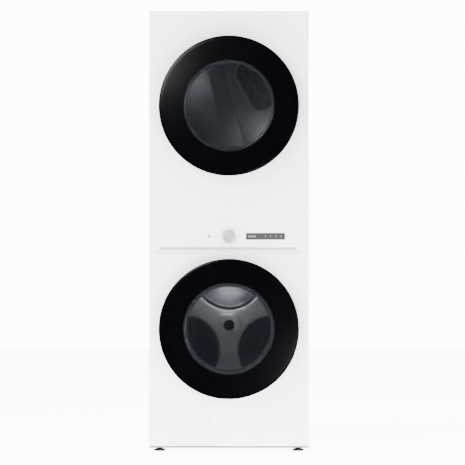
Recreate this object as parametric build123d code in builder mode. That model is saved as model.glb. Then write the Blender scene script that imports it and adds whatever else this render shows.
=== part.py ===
from build123d import *
import math
import os

# Washer dryer stack: one tall steel cabinet with a front-loading washer below, a tumble
# dryer above, and a shared control line with the detergent drawer between them.
# Millimetres. X runs to the right as seen from the front, Y to the back, Z up.
# The origin is on the floor, under the middle of the overall box.

os.makedirs("parts", exist_ok=True)

# ---------------------------------------------------------------- driving dimensions
# Overall box
width = 686.0
depth = 830.0
height = 1890.0
door_stand = 58.0          # the doors stand this far in front of the front panels
rear_stand = 30.0          # the pipe ends stand this far behind the rear panel

# Cabinet sheet metal
sheet = 1.2
panel_depth = 20.0         # folded depth of the two front panels
side_flange = 14.0
lid_rim = 22.0
foot_height = 16.0
foot_radius = 24.0
foot_inset = 45.0
stud_radius = 6.0
base_rim = 6.0
seam = 1.5                 # open seam below the lower front panel
deck_rim = 18.0

# Finger channel with the detergent drawer
channel_bottom = 842.5
channel_height = 40.0
channel_depth = 32.0
recess_left = 26.0         # from the cabinet's left edge
recess_right = 20.0
recess_lip = 4.5           # edge left above and below the recess
recess_slope = 21.0        # depth and height of the sloping pull face
recess_end = 26.0          # length of each slanting end
pull_lip = 3.0
finger_room = 5.0
drawer_width = 176.0
drawer_wall = 2.0
drawer_length = 312.0
drawer_gap = 1.0
housing_length = 345.0

# Control line
control_rise = 40.5        # control line above the channel
knob_radius = 28.7
knob_height = 17.0
knob_shaft = 4.0
display_width = 168.5
display_height = 29.5
display_left = 72.5
button_x = -85.0
button_radius = 5.6
press_travel = 1.2

# Doors
door_radius = 300.0
glass_thick = 8.0
door_gap = 3.0
window_radius = 198.0
bowl_wall = 5.0
bowl_bend = 5.0            # the bowls narrow from here, behind the front panel's face
washer_bowl_depth = 110.0  # behind the front panel's face
washer_bowl_end = 150.0    # radius of the bowl's flat end
dryer_bowl_depth = 22.0
dryer_bowl_end = 181.0
hinge_inset = 12.0         # hinge line inside the door's rim
hinge_behind = 26.0        # hinge line behind the glass face
hinge_pin = 4.0
knuckle = 6.5
knuckle_height = 36.0
latch_radius = 240.0
panel_hole = 205.0

# Washer
washer_axis = 527.0
washer_drum_radius = 276.0
washer_drum_depth = 500.0
washer_drum_front = 85.0   # drum front behind the front panel's face
drum_sheet = 1.2
drum_mouth = 180.0         # clears the closed bowl over the tub's whole travel
tub_gap = 19.0
tub_wall = 5.0
tub_front_gap = 13.0
tub_mouth = 186.0
tub_travel = 8.0
shaft_radius = 15.0
bearing_radius = 31.0
stator_radius = 112.0
rotor_radius = 122.0
damper_x = 170.0
damper_radius = 16.0
spring_x = 275.0
spring_radius = 13.0
spring_rows = (45.0, 165.0)

# Dryer
dryer_axis_rise = 599.5    # drum axis above the finger channel
dryer_drum_radius = 292.0
dryer_drum_depth = 530.0
dryer_drum_front = 72.0
dryer_mouth = 212.0
throat_radius = 200.0
roller_radius = 30.0
roller_width = 25.0
roller_angle = 35.0
motor_x = -60.0
motor_rise = 127.5         # motor axis above the finger channel
motor_radius = 60.0
motor_shaft_radius = 7.0
pulley_radius = 10.0
belt_thick = 3.0
belt_width = 12.0
wheel_radius = 85.0
exhaust_radius = 50.8
exhaust_x = 150.0
exhaust_rise = 77.5
grille_width = 140.0
grille_length = 248.0
grille_corner = 62.0
grille_across = 161.5      # grille centre from the drum axis, across and along its length
grille_along = -41.5
grille_tilt = -61.0        # direction of the grille's length
filter_width = 216.0
filter_thick = 20.0
filter_length = 160.0

# Water and drain
inlet_radius = 13.2
inlet_rise = 812.0
drain_radius = 12.0
pump_x = -160.0
pump_z = 90.0
pump_radius = 42.0
filter_cap_radius = 30.0

# Service hatch
hatch_left = -237.0
hatch_width = 155.0
hatch_bottom = 30.0
hatch_height = 123.0
hatch_thick = 3.0
hatch_pin = 1.5

# Clearances
run_gap = 0.3              # between parts that turn in each other
lip_gap = 0.8              # between the gasket's lip and the closed bowl
edge_gap = 1.0             # around flush parts
seat_gap = 0.1             # around parts that are pushed in

# ---------------------------------------------------------------- planes they share
side_x = width / 2
inside_x = side_x - sheet
front_y = door_stand - depth / 2
back_y = depth / 2 - rear_stand
frame_y = front_y + panel_depth
rear_y = back_y - sheet
base_z = foot_height
base_top = base_z + base_rim
lid_z = height - lid_rim
lower_panel_z = base_top + seam
channel_top = channel_bottom + channel_height
control_z = channel_top + control_rise
dryer_axis = channel_top + dryer_axis_rise
motor_z = channel_top + motor_rise
exhaust_z = channel_top + exhaust_rise
deck_z = channel_top + 2.5
pipe_end_y = depth / 2


def block(x0, x1, y0, y1, z0, z1, mode=Mode.ADD):
    """A box between two corners."""
    with Locations(((x0 + x1) / 2, (y0 + y1) / 2, (z0 + z1) / 2)):
        Box(x1 - x0, y1 - y0, z1 - z0, mode=mode)


def bar(x, z, radius, y0, y1, mode=Mode.ADD):
    """A round bar along Y."""
    with Locations(Location((x, (y0 + y1) / 2, z), (90, 0, 0))):
        Cylinder(radius, y1 - y0, mode=mode)


def post(x, y, radius, z0, z1, mode=Mode.ADD):
    """A round bar along Z."""
    with Locations((x, y, (z0 + z1) / 2)):
        Cylinder(radius, z1 - z0, mode=mode)


def turned(x, z, outline, mode=Mode.ADD):
    """A ring turned about a line along Y. The outline's points are (y, radius)."""
    half_plane = Plane(origin=(x, 0, z), x_dir=(0, 1, 0), z_dir=(0, 0, -1))
    with BuildSketch(half_plane) as section:
        with BuildLine():
            Polyline(*outline, close=True)
        make_face()
    revolve(section.sketch, axis=Axis((x, 0, z), (0, 1, 0)), mode=mode)


def front_plane(y, x=0.0, z=0.0):
    """A plane that faces the front. A negative extrusion from it runs to the back."""
    return Plane(origin=(x, y, z), x_dir=(1, 0, 0), z_dir=(0, -1, 0))


# ================================================================ cabinet
# Base pan: a pressed tray with a short rim that the side and rear panels stand on.
feet = [
    (-side_x + foot_inset, frame_y + foot_inset),
    (side_x - foot_inset, frame_y + foot_inset),
    (-side_x + foot_inset, back_y - foot_inset),
    (side_x - foot_inset, back_y - foot_inset),
]
base_front_y = frame_y - panel_depth + 6
with BuildPart() as base_pan:
    block(-side_x, side_x, base_front_y, back_y, base_z, base_top)
    block(
        -inside_x, inside_x, base_front_y + sheet, rear_y, base_z + 2, base_top, mode=Mode.SUBTRACT
    )
    for foot_x, foot_y in feet:
        post(foot_x, foot_y, stud_radius + run_gap, base_z, base_z + 2, mode=Mode.SUBTRACT)
base_pan.part.label = "base_pan"
export_step(base_pan.part, "parts/base_pan.step")

# Levelling feet: a rubber pad and a hexagon under the pan, with the stud through it.
with BuildPart() as levelling_feet:
    for foot_x, foot_y in feet:
        post(foot_x, foot_y, foot_radius, 0, 9)
        with BuildSketch(Plane.XY.offset(9)):
            with Locations((foot_x, foot_y)):
                RegularPolygon(radius=14, side_count=6)
        extrude(amount=base_z - 9)
        post(foot_x, foot_y, stud_radius, base_z, base_z + 16)
levelling_feet.part.label = "levelling_feet"
export_step(levelling_feet.part, "parts/levelling_feet.step")


def side_panel(side):
    """A folded side panel with a flange at its front and back edge. side is -1 or 1."""
    outer = side * side_x
    inner = side * inside_x
    flange = side * (inside_x - side_flange)
    x_sheet = sorted((outer, inner))
    x_flange = sorted((inner, flange))
    with BuildPart() as panel:
        block(*x_sheet, frame_y, rear_y, base_top, lid_z)
        block(*x_flange, frame_y, frame_y + sheet, base_top, lid_z)
        block(*x_flange, rear_y - sheet, rear_y, base_top, lid_z)
    return panel


left_side_panel = side_panel(-1)
left_side_panel.part.label = "left_side_panel"
export_step(left_side_panel.part, "parts/left_side_panel.step")
right_side_panel = side_panel(1)
right_side_panel.part.label = "right_side_panel"
export_step(right_side_panel.part, "parts/right_side_panel.step")

# Top cover: a flat lid with a turned-down rim, behind the front panel's top edge.
with BuildPart() as top_cover:
    block(-side_x, side_x, frame_y, back_y, lid_z, height)
    lid_edges = top_cover.edges().filter_by(Axis.Z)
    fillet(lid_edges.group_by(Axis.Y)[-1], 8)
    fillet(top_cover.faces().sort_by(Axis.Z)[-1].edges().filter_by(Axis.Y), 5)
    block(-inside_x, inside_x, frame_y + sheet, rear_y, lid_z, height - sheet, mode=Mode.SUBTRACT)
top_cover.part.label = "top_cover"
export_step(top_cover.part, "parts/top_cover.step")

# Rear panels: the washer's, the dryer's, and between them a short connection plate with
# the exhaust opening and the terminal cover. The cover is open below for the mains lead.
inlets = [(-250.0, inlet_rise), (-190.0, inlet_rise)]
drain_x = -250.0
drain_z = 60.0
plate_half = 75.0
panel_seam = 1.0
terminal_x0 = -235.0
terminal_x1 = -125.0
terminal_depth = 26.0
terminal_half = 35.0
gland_radius = 11.0
gland_inset = 25.0
cover_wall = 2.0
cover_round = 3.0
with BuildPart() as rear_panel:
    plate_z0 = exhaust_z - plate_half
    plate_z1 = exhaust_z + plate_half
    block(-side_x, side_x, rear_y, back_y, base_top, plate_z0 - panel_seam)
    block(-side_x, side_x, rear_y, back_y, plate_z0, plate_z1)
    block(-side_x, side_x, rear_y, back_y, plate_z1 + panel_seam, lid_z)
    block(
        terminal_x0, terminal_x1, back_y, back_y + terminal_depth,
        exhaust_z - terminal_half, exhaust_z + terminal_half,
    )
    fillet(rear_panel.faces().sort_by(Axis.Y)[-1].edges(), cover_round)
    block(
        terminal_x0 + cover_wall, terminal_x1 - cover_wall,
        back_y, back_y + terminal_depth - cover_wall,
        exhaust_z - terminal_half + cover_wall, exhaust_z + terminal_half - cover_wall,
        mode=Mode.SUBTRACT,
    )
    post(
        terminal_x1 - gland_inset, back_y + terminal_depth / 2, gland_radius,
        exhaust_z - terminal_half, exhaust_z - terminal_half + cover_wall, mode=Mode.SUBTRACT,
    )
    bar(exhaust_x, exhaust_z, exhaust_radius + edge_gap, rear_y, back_y, mode=Mode.SUBTRACT)
    for inlet_x, inlet_z in inlets:
        bar(inlet_x, inlet_z, inlet_radius + edge_gap, rear_y, back_y, mode=Mode.SUBTRACT)
    bar(drain_x, drain_z, drain_radius + edge_gap, rear_y, back_y, mode=Mode.SUBTRACT)
rear_panel.part.label = "rear_panel"
export_step(rear_panel.part, "parts/rear_panel.step")

# Middle frame: the deck between the washer and the dryer, with an upturned rim.
deck_front_y = frame_y + channel_depth
with BuildPart() as middle_frame:
    block(-inside_x, inside_x, deck_front_y, rear_y - sheet, deck_z, deck_z + deck_rim)
    block(
        -inside_x + sheet, inside_x - sheet, deck_front_y, rear_y - 2 * sheet,
        deck_z + 2, deck_z + deck_rim, mode=Mode.SUBTRACT,
    )
middle_frame.part.label = "middle_frame"
export_step(middle_frame.part, "parts/middle_frame.step")

# ================================================================ front panels
hinge_x = -door_radius + hinge_inset
door_face = -depth / 2
hinge_y = door_face + hinge_behind
glass_back = door_face + glass_thick
frame_back = front_y - door_gap
panel_back = front_y + sheet
arm_bottom = knuckle_height / 2 + edge_gap
arm_top = arm_bottom + 14
arm_half = 3.5
slot_gap = 1.5
latch_thick = 8.0
latch_half = 10.0
latch_slot = 5.0
edge_round = 9.0
top_round = 4.5
flange_depth = 12.0


def rounded_slab(half_width, y0, y1, bottom, top, corner, top_corner):
    """A slab whose front side edges are rounded, and its top front edge where asked."""
    with BuildPart() as slab:
        block(-half_width, half_width, y0, y1, bottom, top)
        fillet(slab.faces().sort_by(Axis.Y)[0].edges().filter_by(Axis.Z), corner)
        if top_corner > 0:
            front_edges = slab.faces().sort_by(Axis.Y)[0].edges()
            fillet(front_edges.filter_by(Axis.X).sort_by(Axis.Z)[-1], top_corner)
    return slab


def front_tray(bottom, top, top_corner):
    """A front panel folded from one sheet, open to the back, with softly bent edges."""
    outer = rounded_slab(side_x, front_y, frame_y, bottom, top, edge_round, top_corner)
    inner = rounded_slab(
        inside_x, panel_back, frame_y + 1, bottom + sheet, top - sheet,
        edge_round - sheet, max(top_corner - sheet, 0),
    )
    with BuildPart() as tray:
        add(outer.part)
        add(inner.part, mode=Mode.SUBTRACT)
    return tray


def cut_for_door(axis_z):
    """The round door opening with its turned-in flange, and the hinge and latch slots."""
    turned(0, axis_z, [
        (front_y, panel_hole - sheet), (front_y, panel_hole + sheet),
        (front_y + flange_depth, panel_hole + sheet), (front_y + flange_depth, panel_hole - sheet),
    ])
    bar(0, axis_z, panel_hole, front_y - 1, front_y + flange_depth + 1, mode=Mode.SUBTRACT)
    for side in (-1, 1):
        slot_z = sorted((
            axis_z + side * (arm_bottom - slot_gap), axis_z + side * (arm_top + slot_gap)
        ))
        block(
            hinge_x - arm_half - slot_gap, hinge_x + arm_half + slot_gap,
            front_y - 1, panel_back + 1, *slot_z, mode=Mode.SUBTRACT,
        )
    block(
        latch_radius - latch_thick / 2 - latch_slot, latch_radius + latch_thick / 2 + latch_slot,
        front_y - 1, panel_back + 1,
        axis_z - latch_half - latch_slot, axis_z + latch_half + latch_slot, mode=Mode.SUBTRACT,
    )


# Upper front panel: one sheet for the dryer front and the control line.
display_right = display_left + display_width
window_z0 = control_z - display_height / 2
window_z1 = control_z + display_height / 2
upper_front_panel = front_tray(channel_top, height, top_round)
with upper_front_panel:
    cut_for_door(dryer_axis)
    bar(0, control_z, knob_shaft + edge_gap, front_y - 1, panel_back + 1, mode=Mode.SUBTRACT)
    bar(
        button_x, control_z, button_radius + run_gap, front_y - 1, panel_back + 1,
        mode=Mode.SUBTRACT,
    )
    block(
        display_left - seat_gap, display_right + seat_gap, front_y - 1, panel_back + 1,
        window_z0 - seat_gap, window_z1 + seat_gap, mode=Mode.SUBTRACT,
    )
upper_front_panel.part.label = "upper_front_panel"
export_step(upper_front_panel.part, "parts/upper_front_panel.step")

# Lower front panel: the washer front, with the niche and pin lugs of the service hatch.
hatch_right = hatch_left + hatch_width
hatch_top = hatch_bottom + hatch_height
hatch_axis_y = front_y + 7
hatch_axis_z = hatch_bottom + 6
lug_thick = 6.0
lower_front_panel = front_tray(lower_panel_z, channel_bottom, 0)
with lower_front_panel:
    cut_for_door(washer_axis)
    block(
        hatch_left - edge_gap, hatch_right + edge_gap, front_y - 1, panel_back + 1,
        hatch_bottom - 1.5 * edge_gap, hatch_top + edge_gap, mode=Mode.SUBTRACT,
    )
    for lug_x in (hatch_left - edge_gap - lug_thick, hatch_right + edge_gap):
        block(
            lug_x, lug_x + lug_thick, panel_back, hatch_axis_y + 6,
            hatch_axis_z - 6, hatch_axis_z + 6,
        )
    with Locations(Location((hatch_left + hatch_width / 2, hatch_axis_y, hatch_axis_z), (0, 90, 0))):
        Cylinder(hatch_pin + run_gap, hatch_width + 4 * lug_thick, mode=Mode.SUBTRACT)
lower_front_panel.part.label = "lower_front_panel"
export_step(lower_front_panel.part, "parts/lower_front_panel.step")

# Service hatch: a small flap on two pins, flush with the panel.
with BuildPart() as service_hatch:
    block(hatch_left, hatch_right, front_y, front_y + hatch_thick, hatch_bottom, hatch_top)
    fillet(service_hatch.edges().filter_by(Axis.Y).group_by(Axis.Z)[-1], 8)
    for ear_x in (hatch_left + 2, hatch_right - 6):
        block(
            ear_x, ear_x + 4, front_y + hatch_thick, hatch_axis_y + 3,
            hatch_axis_z - 3, hatch_axis_z + 3,
        )
    with Locations(Location((hatch_left + hatch_width / 2, hatch_axis_y, hatch_axis_z), (0, 90, 0))):
        Cylinder(hatch_pin, hatch_width + 2 * edge_gap + 2 * (lug_thick - 2))
service_hatch.part.label = "service_hatch"
export_step(service_hatch.part, "parts/service_hatch.step")

# ================================================================ finger channel and drawer
recess_z0 = channel_bottom + recess_lip
recess_z1 = channel_top - recess_lip
lip_z = recess_z0 + recess_slope
pocket_z = lip_z - 10
pull_y = front_y + recess_slope
pocket_y0 = pull_y + pull_lip
pocket_y1 = pocket_y0 + finger_room
channel_back = front_y + channel_depth
recess_x0 = -side_x + recess_left
recess_x1 = side_x - recess_right
drawer_x0 = recess_x0 + recess_end
drawer_x1 = drawer_x0 + drawer_width
drawer_z0 = recess_z0 + 3
drawer_z1 = recess_z1 - 2

# The finger recess: a sloping face with a lip, and room for the fingertips behind it.
with BuildPart() as finger_recess:
    with BuildSketch(Plane.YZ.offset(-side_x)):
        with BuildLine():
            Polyline(
                (front_y - 1, recess_z0), (front_y, recess_z0), (pull_y, lip_z),
                (pocket_y0, lip_z), (pocket_y0, pocket_z), (pocket_y1, pocket_z),
                (pocket_y1, recess_z1), (front_y - 1, recess_z1), close=True,
            )
        make_face()
    extrude(amount=width)
    with BuildSketch(Plane.XY.offset(channel_bottom)):
        with BuildLine():
            Polyline(
                (recess_x0, front_y - 1), (recess_x0, front_y), (drawer_x0, pull_y),
                (drawer_x0, channel_back), (recess_x1 - 1.4 * recess_end, channel_back),
                (recess_x1 - 1.4 * recess_end, pull_y), (recess_x1, front_y),
                (recess_x1, front_y - 1), close=True,
            )
        make_face()
    extrude(amount=channel_height, mode=Mode.INTERSECT)

# Handle channel: the moulded strip across the cabinet, open where the drawer passes.
with BuildPart() as handle_channel:
    channel_x = inside_x - side_flange - edge_gap
    block(-side_x, side_x, front_y, frame_y, channel_bottom, channel_top)
    strip_front = handle_channel.faces().sort_by(Axis.Y)[0]
    fillet(strip_front.edges().filter_by(Axis.Z), edge_round)
    block(-channel_x, channel_x, frame_y, channel_back, channel_bottom + 2, channel_top)
    add(finger_recess.part, mode=Mode.SUBTRACT)
    block(
        drawer_x0 - drawer_gap, drawer_x1 + drawer_gap, front_y - 1, channel_back,
        drawer_z0 - drawer_gap, drawer_z1 + drawer_gap, mode=Mode.SUBTRACT,
    )
handle_channel.part.label = "handle_channel"
export_step(handle_channel.part, "parts/handle_channel.step")

# Drawer front: the same sloping face and lip, so that it is pulled by the lip.
with BuildPart() as drawer_front:
    with BuildSketch(Plane.YZ.offset(drawer_x0)):
        with BuildLine():
            Polyline(
                (front_y + drawer_z0 - recess_z0, drawer_z0), (pull_y, lip_z),
                (pocket_y0, lip_z), (pocket_y0, pocket_z), (pocket_y1, pocket_z),
                (pocket_y1, drawer_z1), (channel_back + 2, drawer_z1),
                (channel_back + 2, drawer_z0), close=True,
            )
        make_face()
    extrude(amount=drawer_width)
drawer_front.part.label = "drawer_front"
export_step(drawer_front.part, "parts/drawer_front.step")

# Drawer tray: three open compartments behind the drawer front.
tray_x0 = drawer_x0 + drawer_wall
tray_x1 = drawer_x1 - drawer_wall
tray_y0 = channel_back + 2
tray_y1 = tray_y0 + drawer_length
tray_top = drawer_z1 - 2
tray_floor = drawer_z0 + drawer_wall
with BuildPart() as drawer_tray:
    block(tray_x0, tray_x1, tray_y0, tray_y1, drawer_z0, tray_top)
    wells = (tray_x1 - tray_x0 - drawer_wall) / 3
    for index in range(3):
        well_x = tray_x0 + drawer_wall + index * wells
        block(
            well_x, well_x + wells - drawer_wall, tray_y0 + drawer_wall, tray_y1 - drawer_wall,
            tray_floor, tray_top, mode=Mode.SUBTRACT,
        )
drawer_tray.part.label = "drawer_tray"
export_step(drawer_tray.part, "parts/drawer_tray.step")

# Drawer housing: the box that the drawer runs in, screwed behind the channel.
with BuildPart() as drawer_housing:
    hole_x0 = drawer_x0 - drawer_gap
    hole_x1 = drawer_x1 + drawer_gap
    hole_z0 = drawer_z0 - drawer_gap
    hole_z1 = drawer_z1 + drawer_gap
    block(
        hole_x0 - drawer_wall, hole_x1 + drawer_wall, channel_back, channel_back + housing_length,
        hole_z0 - drawer_wall, hole_z1 + drawer_wall,
    )
    block(
        hole_x0, hole_x1, channel_back, channel_back + housing_length - drawer_wall,
        hole_z0, hole_z1, mode=Mode.SUBTRACT,
    )
drawer_housing.part.label = "drawer_housing"
export_step(drawer_housing.part, "parts/drawer_housing.step")

# ================================================================ control line
housing_x0 = button_x - 25
housing_x1 = display_right + 20
housing_half = 30.0
housing_back = panel_back + 37
boss_front = housing_back - 12
button_flange_y = panel_back + 5
with BuildPart() as control_housing:
    block(
        housing_x0, housing_x1, panel_back, housing_back,
        control_z - housing_half, control_z + housing_half,
    )
    block(
        housing_x0 + 2, housing_x1 - 2, panel_back, housing_back - 2,
        control_z - housing_half + 2, control_z + housing_half - 2, mode=Mode.SUBTRACT,
    )
    for boss_x, bore in ((0, knob_shaft), (button_x, button_radius / 2)):
        bar(boss_x, control_z, bore + 4, boss_front, housing_back - 2)
        bar(boss_x, control_z, bore + run_gap, boss_front, housing_back - 2, mode=Mode.SUBTRACT)
control_housing.part.label = "control_housing"
export_step(control_housing.part, "parts/control_housing.step")

# Display window: a tinted pane set flush in the panel from behind.
with BuildPart() as display_window:
    block(display_left, display_right, front_y, panel_back, window_z0, window_z1)
    fillet(display_window.edges().filter_by(Axis.Y), 3)
    block(
        display_left - 4, display_right + 4, panel_back, panel_back + 2,
        window_z0 - 4, window_z1 + 4,
    )
display_window.part.label = "display_window"
export_step(display_window.part, "parts/display_window.step")

# Programme knob: a turned cap on a shaft that runs in the housing's boss.
knob_back = front_y - edge_gap
with BuildPart() as knob:
    bar(0, control_z, knob_radius, knob_back - knob_height, knob_back)
    chamfer(knob.faces().sort_by(Axis.Y)[0].edges(), 1.5)
    bar(0, control_z, knob_shaft, knob_back, housing_back - 4)
knob.part.label = "knob"
export_step(knob.part, "parts/knob.step")

# Power button: a small push button with a collar behind the panel.
with BuildPart() as power_button:
    bar(button_x, control_z, button_radius, front_y - 1.5, button_flange_y)
    bar(button_x, control_z, button_radius + 3, button_flange_y, button_flange_y + 2)
    bar(button_x, control_z, button_radius / 2, button_flange_y + 2, housing_back - 5)
power_button.part.label = "power_button"
export_step(power_button.part, "parts/power_button.step")

# ================================================================ doors
# Hinge brackets: a plate behind the panel with two arms that reach out to the hinge pin.
with BuildPart() as hinge_brackets:
    for axis_z in (washer_axis, dryer_axis):
        block(
            hinge_x - 22, hinge_x + 26, panel_back, panel_back + 3, axis_z - 50, axis_z + 50,
        )
        for side in (-1, 1):
            arm_z = sorted((axis_z + side * arm_bottom, axis_z + side * arm_top))
            block(hinge_x - arm_half, hinge_x + arm_half, hinge_y, panel_back, *arm_z)
            post(hinge_x, hinge_y, knuckle, *arm_z)
            post(hinge_x, hinge_y, hinge_pin + run_gap, *arm_z, mode=Mode.SUBTRACT)
hinge_brackets.part.label = "hinge_brackets"
export_step(hinge_brackets.part, "parts/hinge_brackets.step")

# Door catches: the lock boxes behind the panel that take the latch hooks.
catch_back = panel_back + 31
with BuildPart() as door_catches:
    for axis_z in (washer_axis, dryer_axis):
        block(
            latch_radius - 22, latch_radius + 22, panel_back, catch_back, axis_z - 32, axis_z + 32,
        )
        block(
            latch_radius - 12, latch_radius + 12, panel_back, catch_back - 4,
            axis_z - 19, axis_z + 19, mode=Mode.SUBTRACT,
        )
door_catches.part.label = "door_catches"
export_step(door_catches.part, "parts/door_catches.step")

# Each door: a domed outer pane on a plastic ring, a glass bowl held in the ring, and a
# hinge leaf with its pin.
collar_wall = 4.0
collar_inner = window_radius + edge_gap
lip_y = glass_back + 15
bowl_rim = window_radius - edge_gap / 2
bowl_neck = window_radius - 2 * edge_gap - 6
pocket_x = hinge_x + 21
pocket_half = arm_top + 9


def door_pane(axis_z):
    with BuildPart() as pane:
        with BuildSketch(Plane(origin=(0, 0, axis_z), x_dir=(0, 1, 0), z_dir=(0, 0, -1))):
            with BuildLine():
                ThreePointArc(
                    (door_face, 0), (door_face + 0.75, door_radius / 2),
                    (door_face + 3, door_radius),
                )
                Polyline(
                    (door_face + 3, door_radius), (glass_back, door_radius), (glass_back, 0),
                    (door_face, 0),
                )
            make_face()
        revolve(axis=Axis((0, 0, axis_z), (0, 1, 0)))
    return pane


def door_ring(axis_z):
    with BuildPart() as ring:
        turned(0, axis_z, [
            (glass_back, door_radius - 1), (frame_back, door_radius - 8),
            (frame_back, collar_inner), (lip_y + 4, collar_inner), (lip_y + 4, bowl_neck + 1),
            (lip_y, bowl_neck + 1), (lip_y, collar_inner), (glass_back, collar_inner),
            (glass_back, collar_inner + collar_wall),
            (frame_back - collar_wall, collar_inner + collar_wall),
            (frame_back - collar_wall, door_radius - 12), (glass_back, door_radius - 5),
        ])
        block(
            hinge_x + 4, pocket_x + 4, glass_back, frame_back,
            axis_z - pocket_half - 4, axis_z + pocket_half + 4,
        )
        block(
            -door_radius - 1, pocket_x, glass_back, frame_back,
            axis_z - pocket_half, axis_z + pocket_half, mode=Mode.SUBTRACT,
        )
        hook_x = (latch_radius - latch_thick / 2, latch_radius + latch_thick / 2)
        block(*hook_x, frame_back - 2, panel_back + 12, axis_z - latch_half, axis_z + latch_half)
        block(
            *hook_x, panel_back + 7, panel_back + 12, axis_z + latch_half, axis_z + latch_half + 4
        )
    return ring


def door_bowl(axis_z, bowl_depth, end_radius):
    bowl_end = front_y + bowl_depth
    bend_y = front_y + bowl_bend
    with BuildPart() as bowl:
        turned(0, axis_z, [
            (lip_y - 6, bowl_rim), (lip_y, bowl_rim), (lip_y, bowl_neck), (bend_y, bowl_neck),
            (bowl_end, end_radius), (bowl_end, 0), (bowl_end - bowl_wall, 0),
            (bowl_end - bowl_wall, end_radius - bowl_wall), (bend_y, bowl_neck - bowl_wall),
            (lip_y - 6, bowl_neck - bowl_wall),
        ])
    return bowl


def door_hinge(axis_z):
    with BuildPart() as hinge:
        post(hinge_x, hinge_y, knuckle, axis_z - knuckle_height / 2, axis_z + knuckle_height / 2)
        post(hinge_x, hinge_y, hinge_pin, axis_z - arm_top - 3, axis_z + arm_top + 3)
        block(hinge_x, pocket_x, hinge_y - 3, hinge_y + 3, axis_z - 16, axis_z + 16)
        block(
            pocket_x - 3, pocket_x, glass_back + 3, frame_back - 3, axis_z - 28, axis_z + 28,
        )
    return hinge


doors = (
    ("washer", washer_axis, washer_bowl_depth, washer_bowl_end),
    ("dryer", dryer_axis, dryer_bowl_depth, dryer_bowl_end),
)
for machine, axis_z, bowl_depth, end_radius in doors:
    pieces = {
        "glass": door_pane(axis_z),
        "frame": door_ring(axis_z),
        "bowl": door_bowl(axis_z, bowl_depth, end_radius),
        "hinge": door_hinge(axis_z),
    }
    for piece_name, piece in pieces.items():
        piece.part.label = f"{machine}_door_{piece_name}"
        export_step(piece.part, f"parts/{machine}_door_{piece_name}.step")

# ================================================================ washer
drum_front = front_y + washer_drum_front
drum_back = drum_front + washer_drum_depth
tub_radius = washer_drum_radius + tub_gap + tub_wall
tub_front_y = drum_front - tub_front_gap - tub_wall
tub_seam_y = tub_front_y + 250
tub_back_y = drum_back + 30
hub_radius = bearing_radius + 14
hub_back_y = tub_back_y + 48

# Door gasket: a rubber bellows between the panel's opening and the tub's mouth.
gasket_wall = 5.0
lip_front = front_y + 28


def washer_bowl_radius(y):
    """Outer radius of the closed washer bowl at one depth."""
    taper = (bowl_neck - washer_bowl_end) / (washer_bowl_depth - bowl_bend)
    return bowl_neck - taper * (y - front_y - bowl_bend)


with BuildPart() as washer_gasket:
    lip_radius = washer_bowl_radius(lip_front) + lip_gap
    turned(0, washer_axis, [
        (front_y + flange_depth, panel_hole - sheet), (front_y + 30, panel_hole - sheet - 5),
        (front_y + 30, tub_mouth + 8), (front_y + 38, tub_mouth + 8),
        (front_y + 52, tub_mouth + 2), (tub_front_y, tub_mouth + 2),
        (tub_front_y, tub_mouth - gasket_wall), (front_y + 50, tub_mouth - gasket_wall),
        (front_y + 36, tub_mouth - 1), (lip_front + 3, lip_radius),
        (lip_front, lip_radius), (front_y + 26, panel_hole - sheet - 2 * gasket_wall),
        (front_y + flange_depth, panel_hole - sheet - gasket_wall),
    ])
washer_gasket.part.label = "washer_gasket"
export_step(washer_gasket.part, "parts/washer_gasket.step")

# Front half of the tub: a moulded ring with the mouth that carries the gasket.
with BuildPart() as tub_front:
    turned(0, washer_axis, [
        (tub_front_y, tub_mouth), (tub_front_y, tub_radius), (tub_seam_y, tub_radius),
        (tub_seam_y, tub_radius - tub_wall), (tub_front_y + tub_wall, tub_radius - tub_wall),
        (tub_front_y + tub_wall, tub_mouth),
    ])
tub_front.part.label = "tub_front"
export_step(tub_front.part, "parts/tub_front.step")

# Rear half of the tub, with the bearing hub and ribs behind it and the spring ears on top.
ear_z = washer_axis + 175
with BuildPart() as tub_rear:
    turned(0, washer_axis, [
        (tub_seam_y, tub_radius - tub_wall), (tub_seam_y, tub_radius), (tub_back_y, tub_radius),
        (tub_back_y, hub_radius), (hub_back_y, hub_radius), (hub_back_y, bearing_radius),
        (tub_back_y - tub_wall, bearing_radius), (tub_back_y - tub_wall, tub_radius - tub_wall),
    ])
    for spring_y in spring_rows:
        for side in (-1, 1):
            ear_x = sorted((side * (tub_radius * 0.72), side * (spring_x + spring_radius)))
            block(*ear_x, spring_y - 10, spring_y + 10, ear_z - 12, ear_z)
    bar(0, washer_axis, tub_radius - tub_wall, tub_seam_y, tub_back_y - tub_wall, mode=Mode.SUBTRACT)
tub_rear.part.label = "tub_rear"
export_step(tub_rear.part, "parts/tub_rear.step")

# Counterweights: two cast blocks on the tub's front, above and below the mouth.
weight_thick = 26.0
with BuildPart() as counterweights:
    for start_angle in (50, 230):
        with BuildSketch(front_plane(tub_front_y, 0, washer_axis)):
            Circle(tub_radius - 8)
            Circle(tub_mouth + 16, mode=Mode.SUBTRACT)
            with BuildLine():
                reach = 2 * tub_radius
                Polyline(
                    (0, 0),
                    (reach * math.cos(math.radians(start_angle)),
                     reach * math.sin(math.radians(start_angle))),
                    (reach * math.cos(math.radians(start_angle + 80)),
                     reach * math.sin(math.radians(start_angle + 80))),
                    close=True,
                )
            make_face(mode=Mode.INTERSECT)
        extrude(amount=weight_thick)
counterweights.part.label = "counterweights"
export_step(counterweights.part, "parts/counterweights.step")

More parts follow.
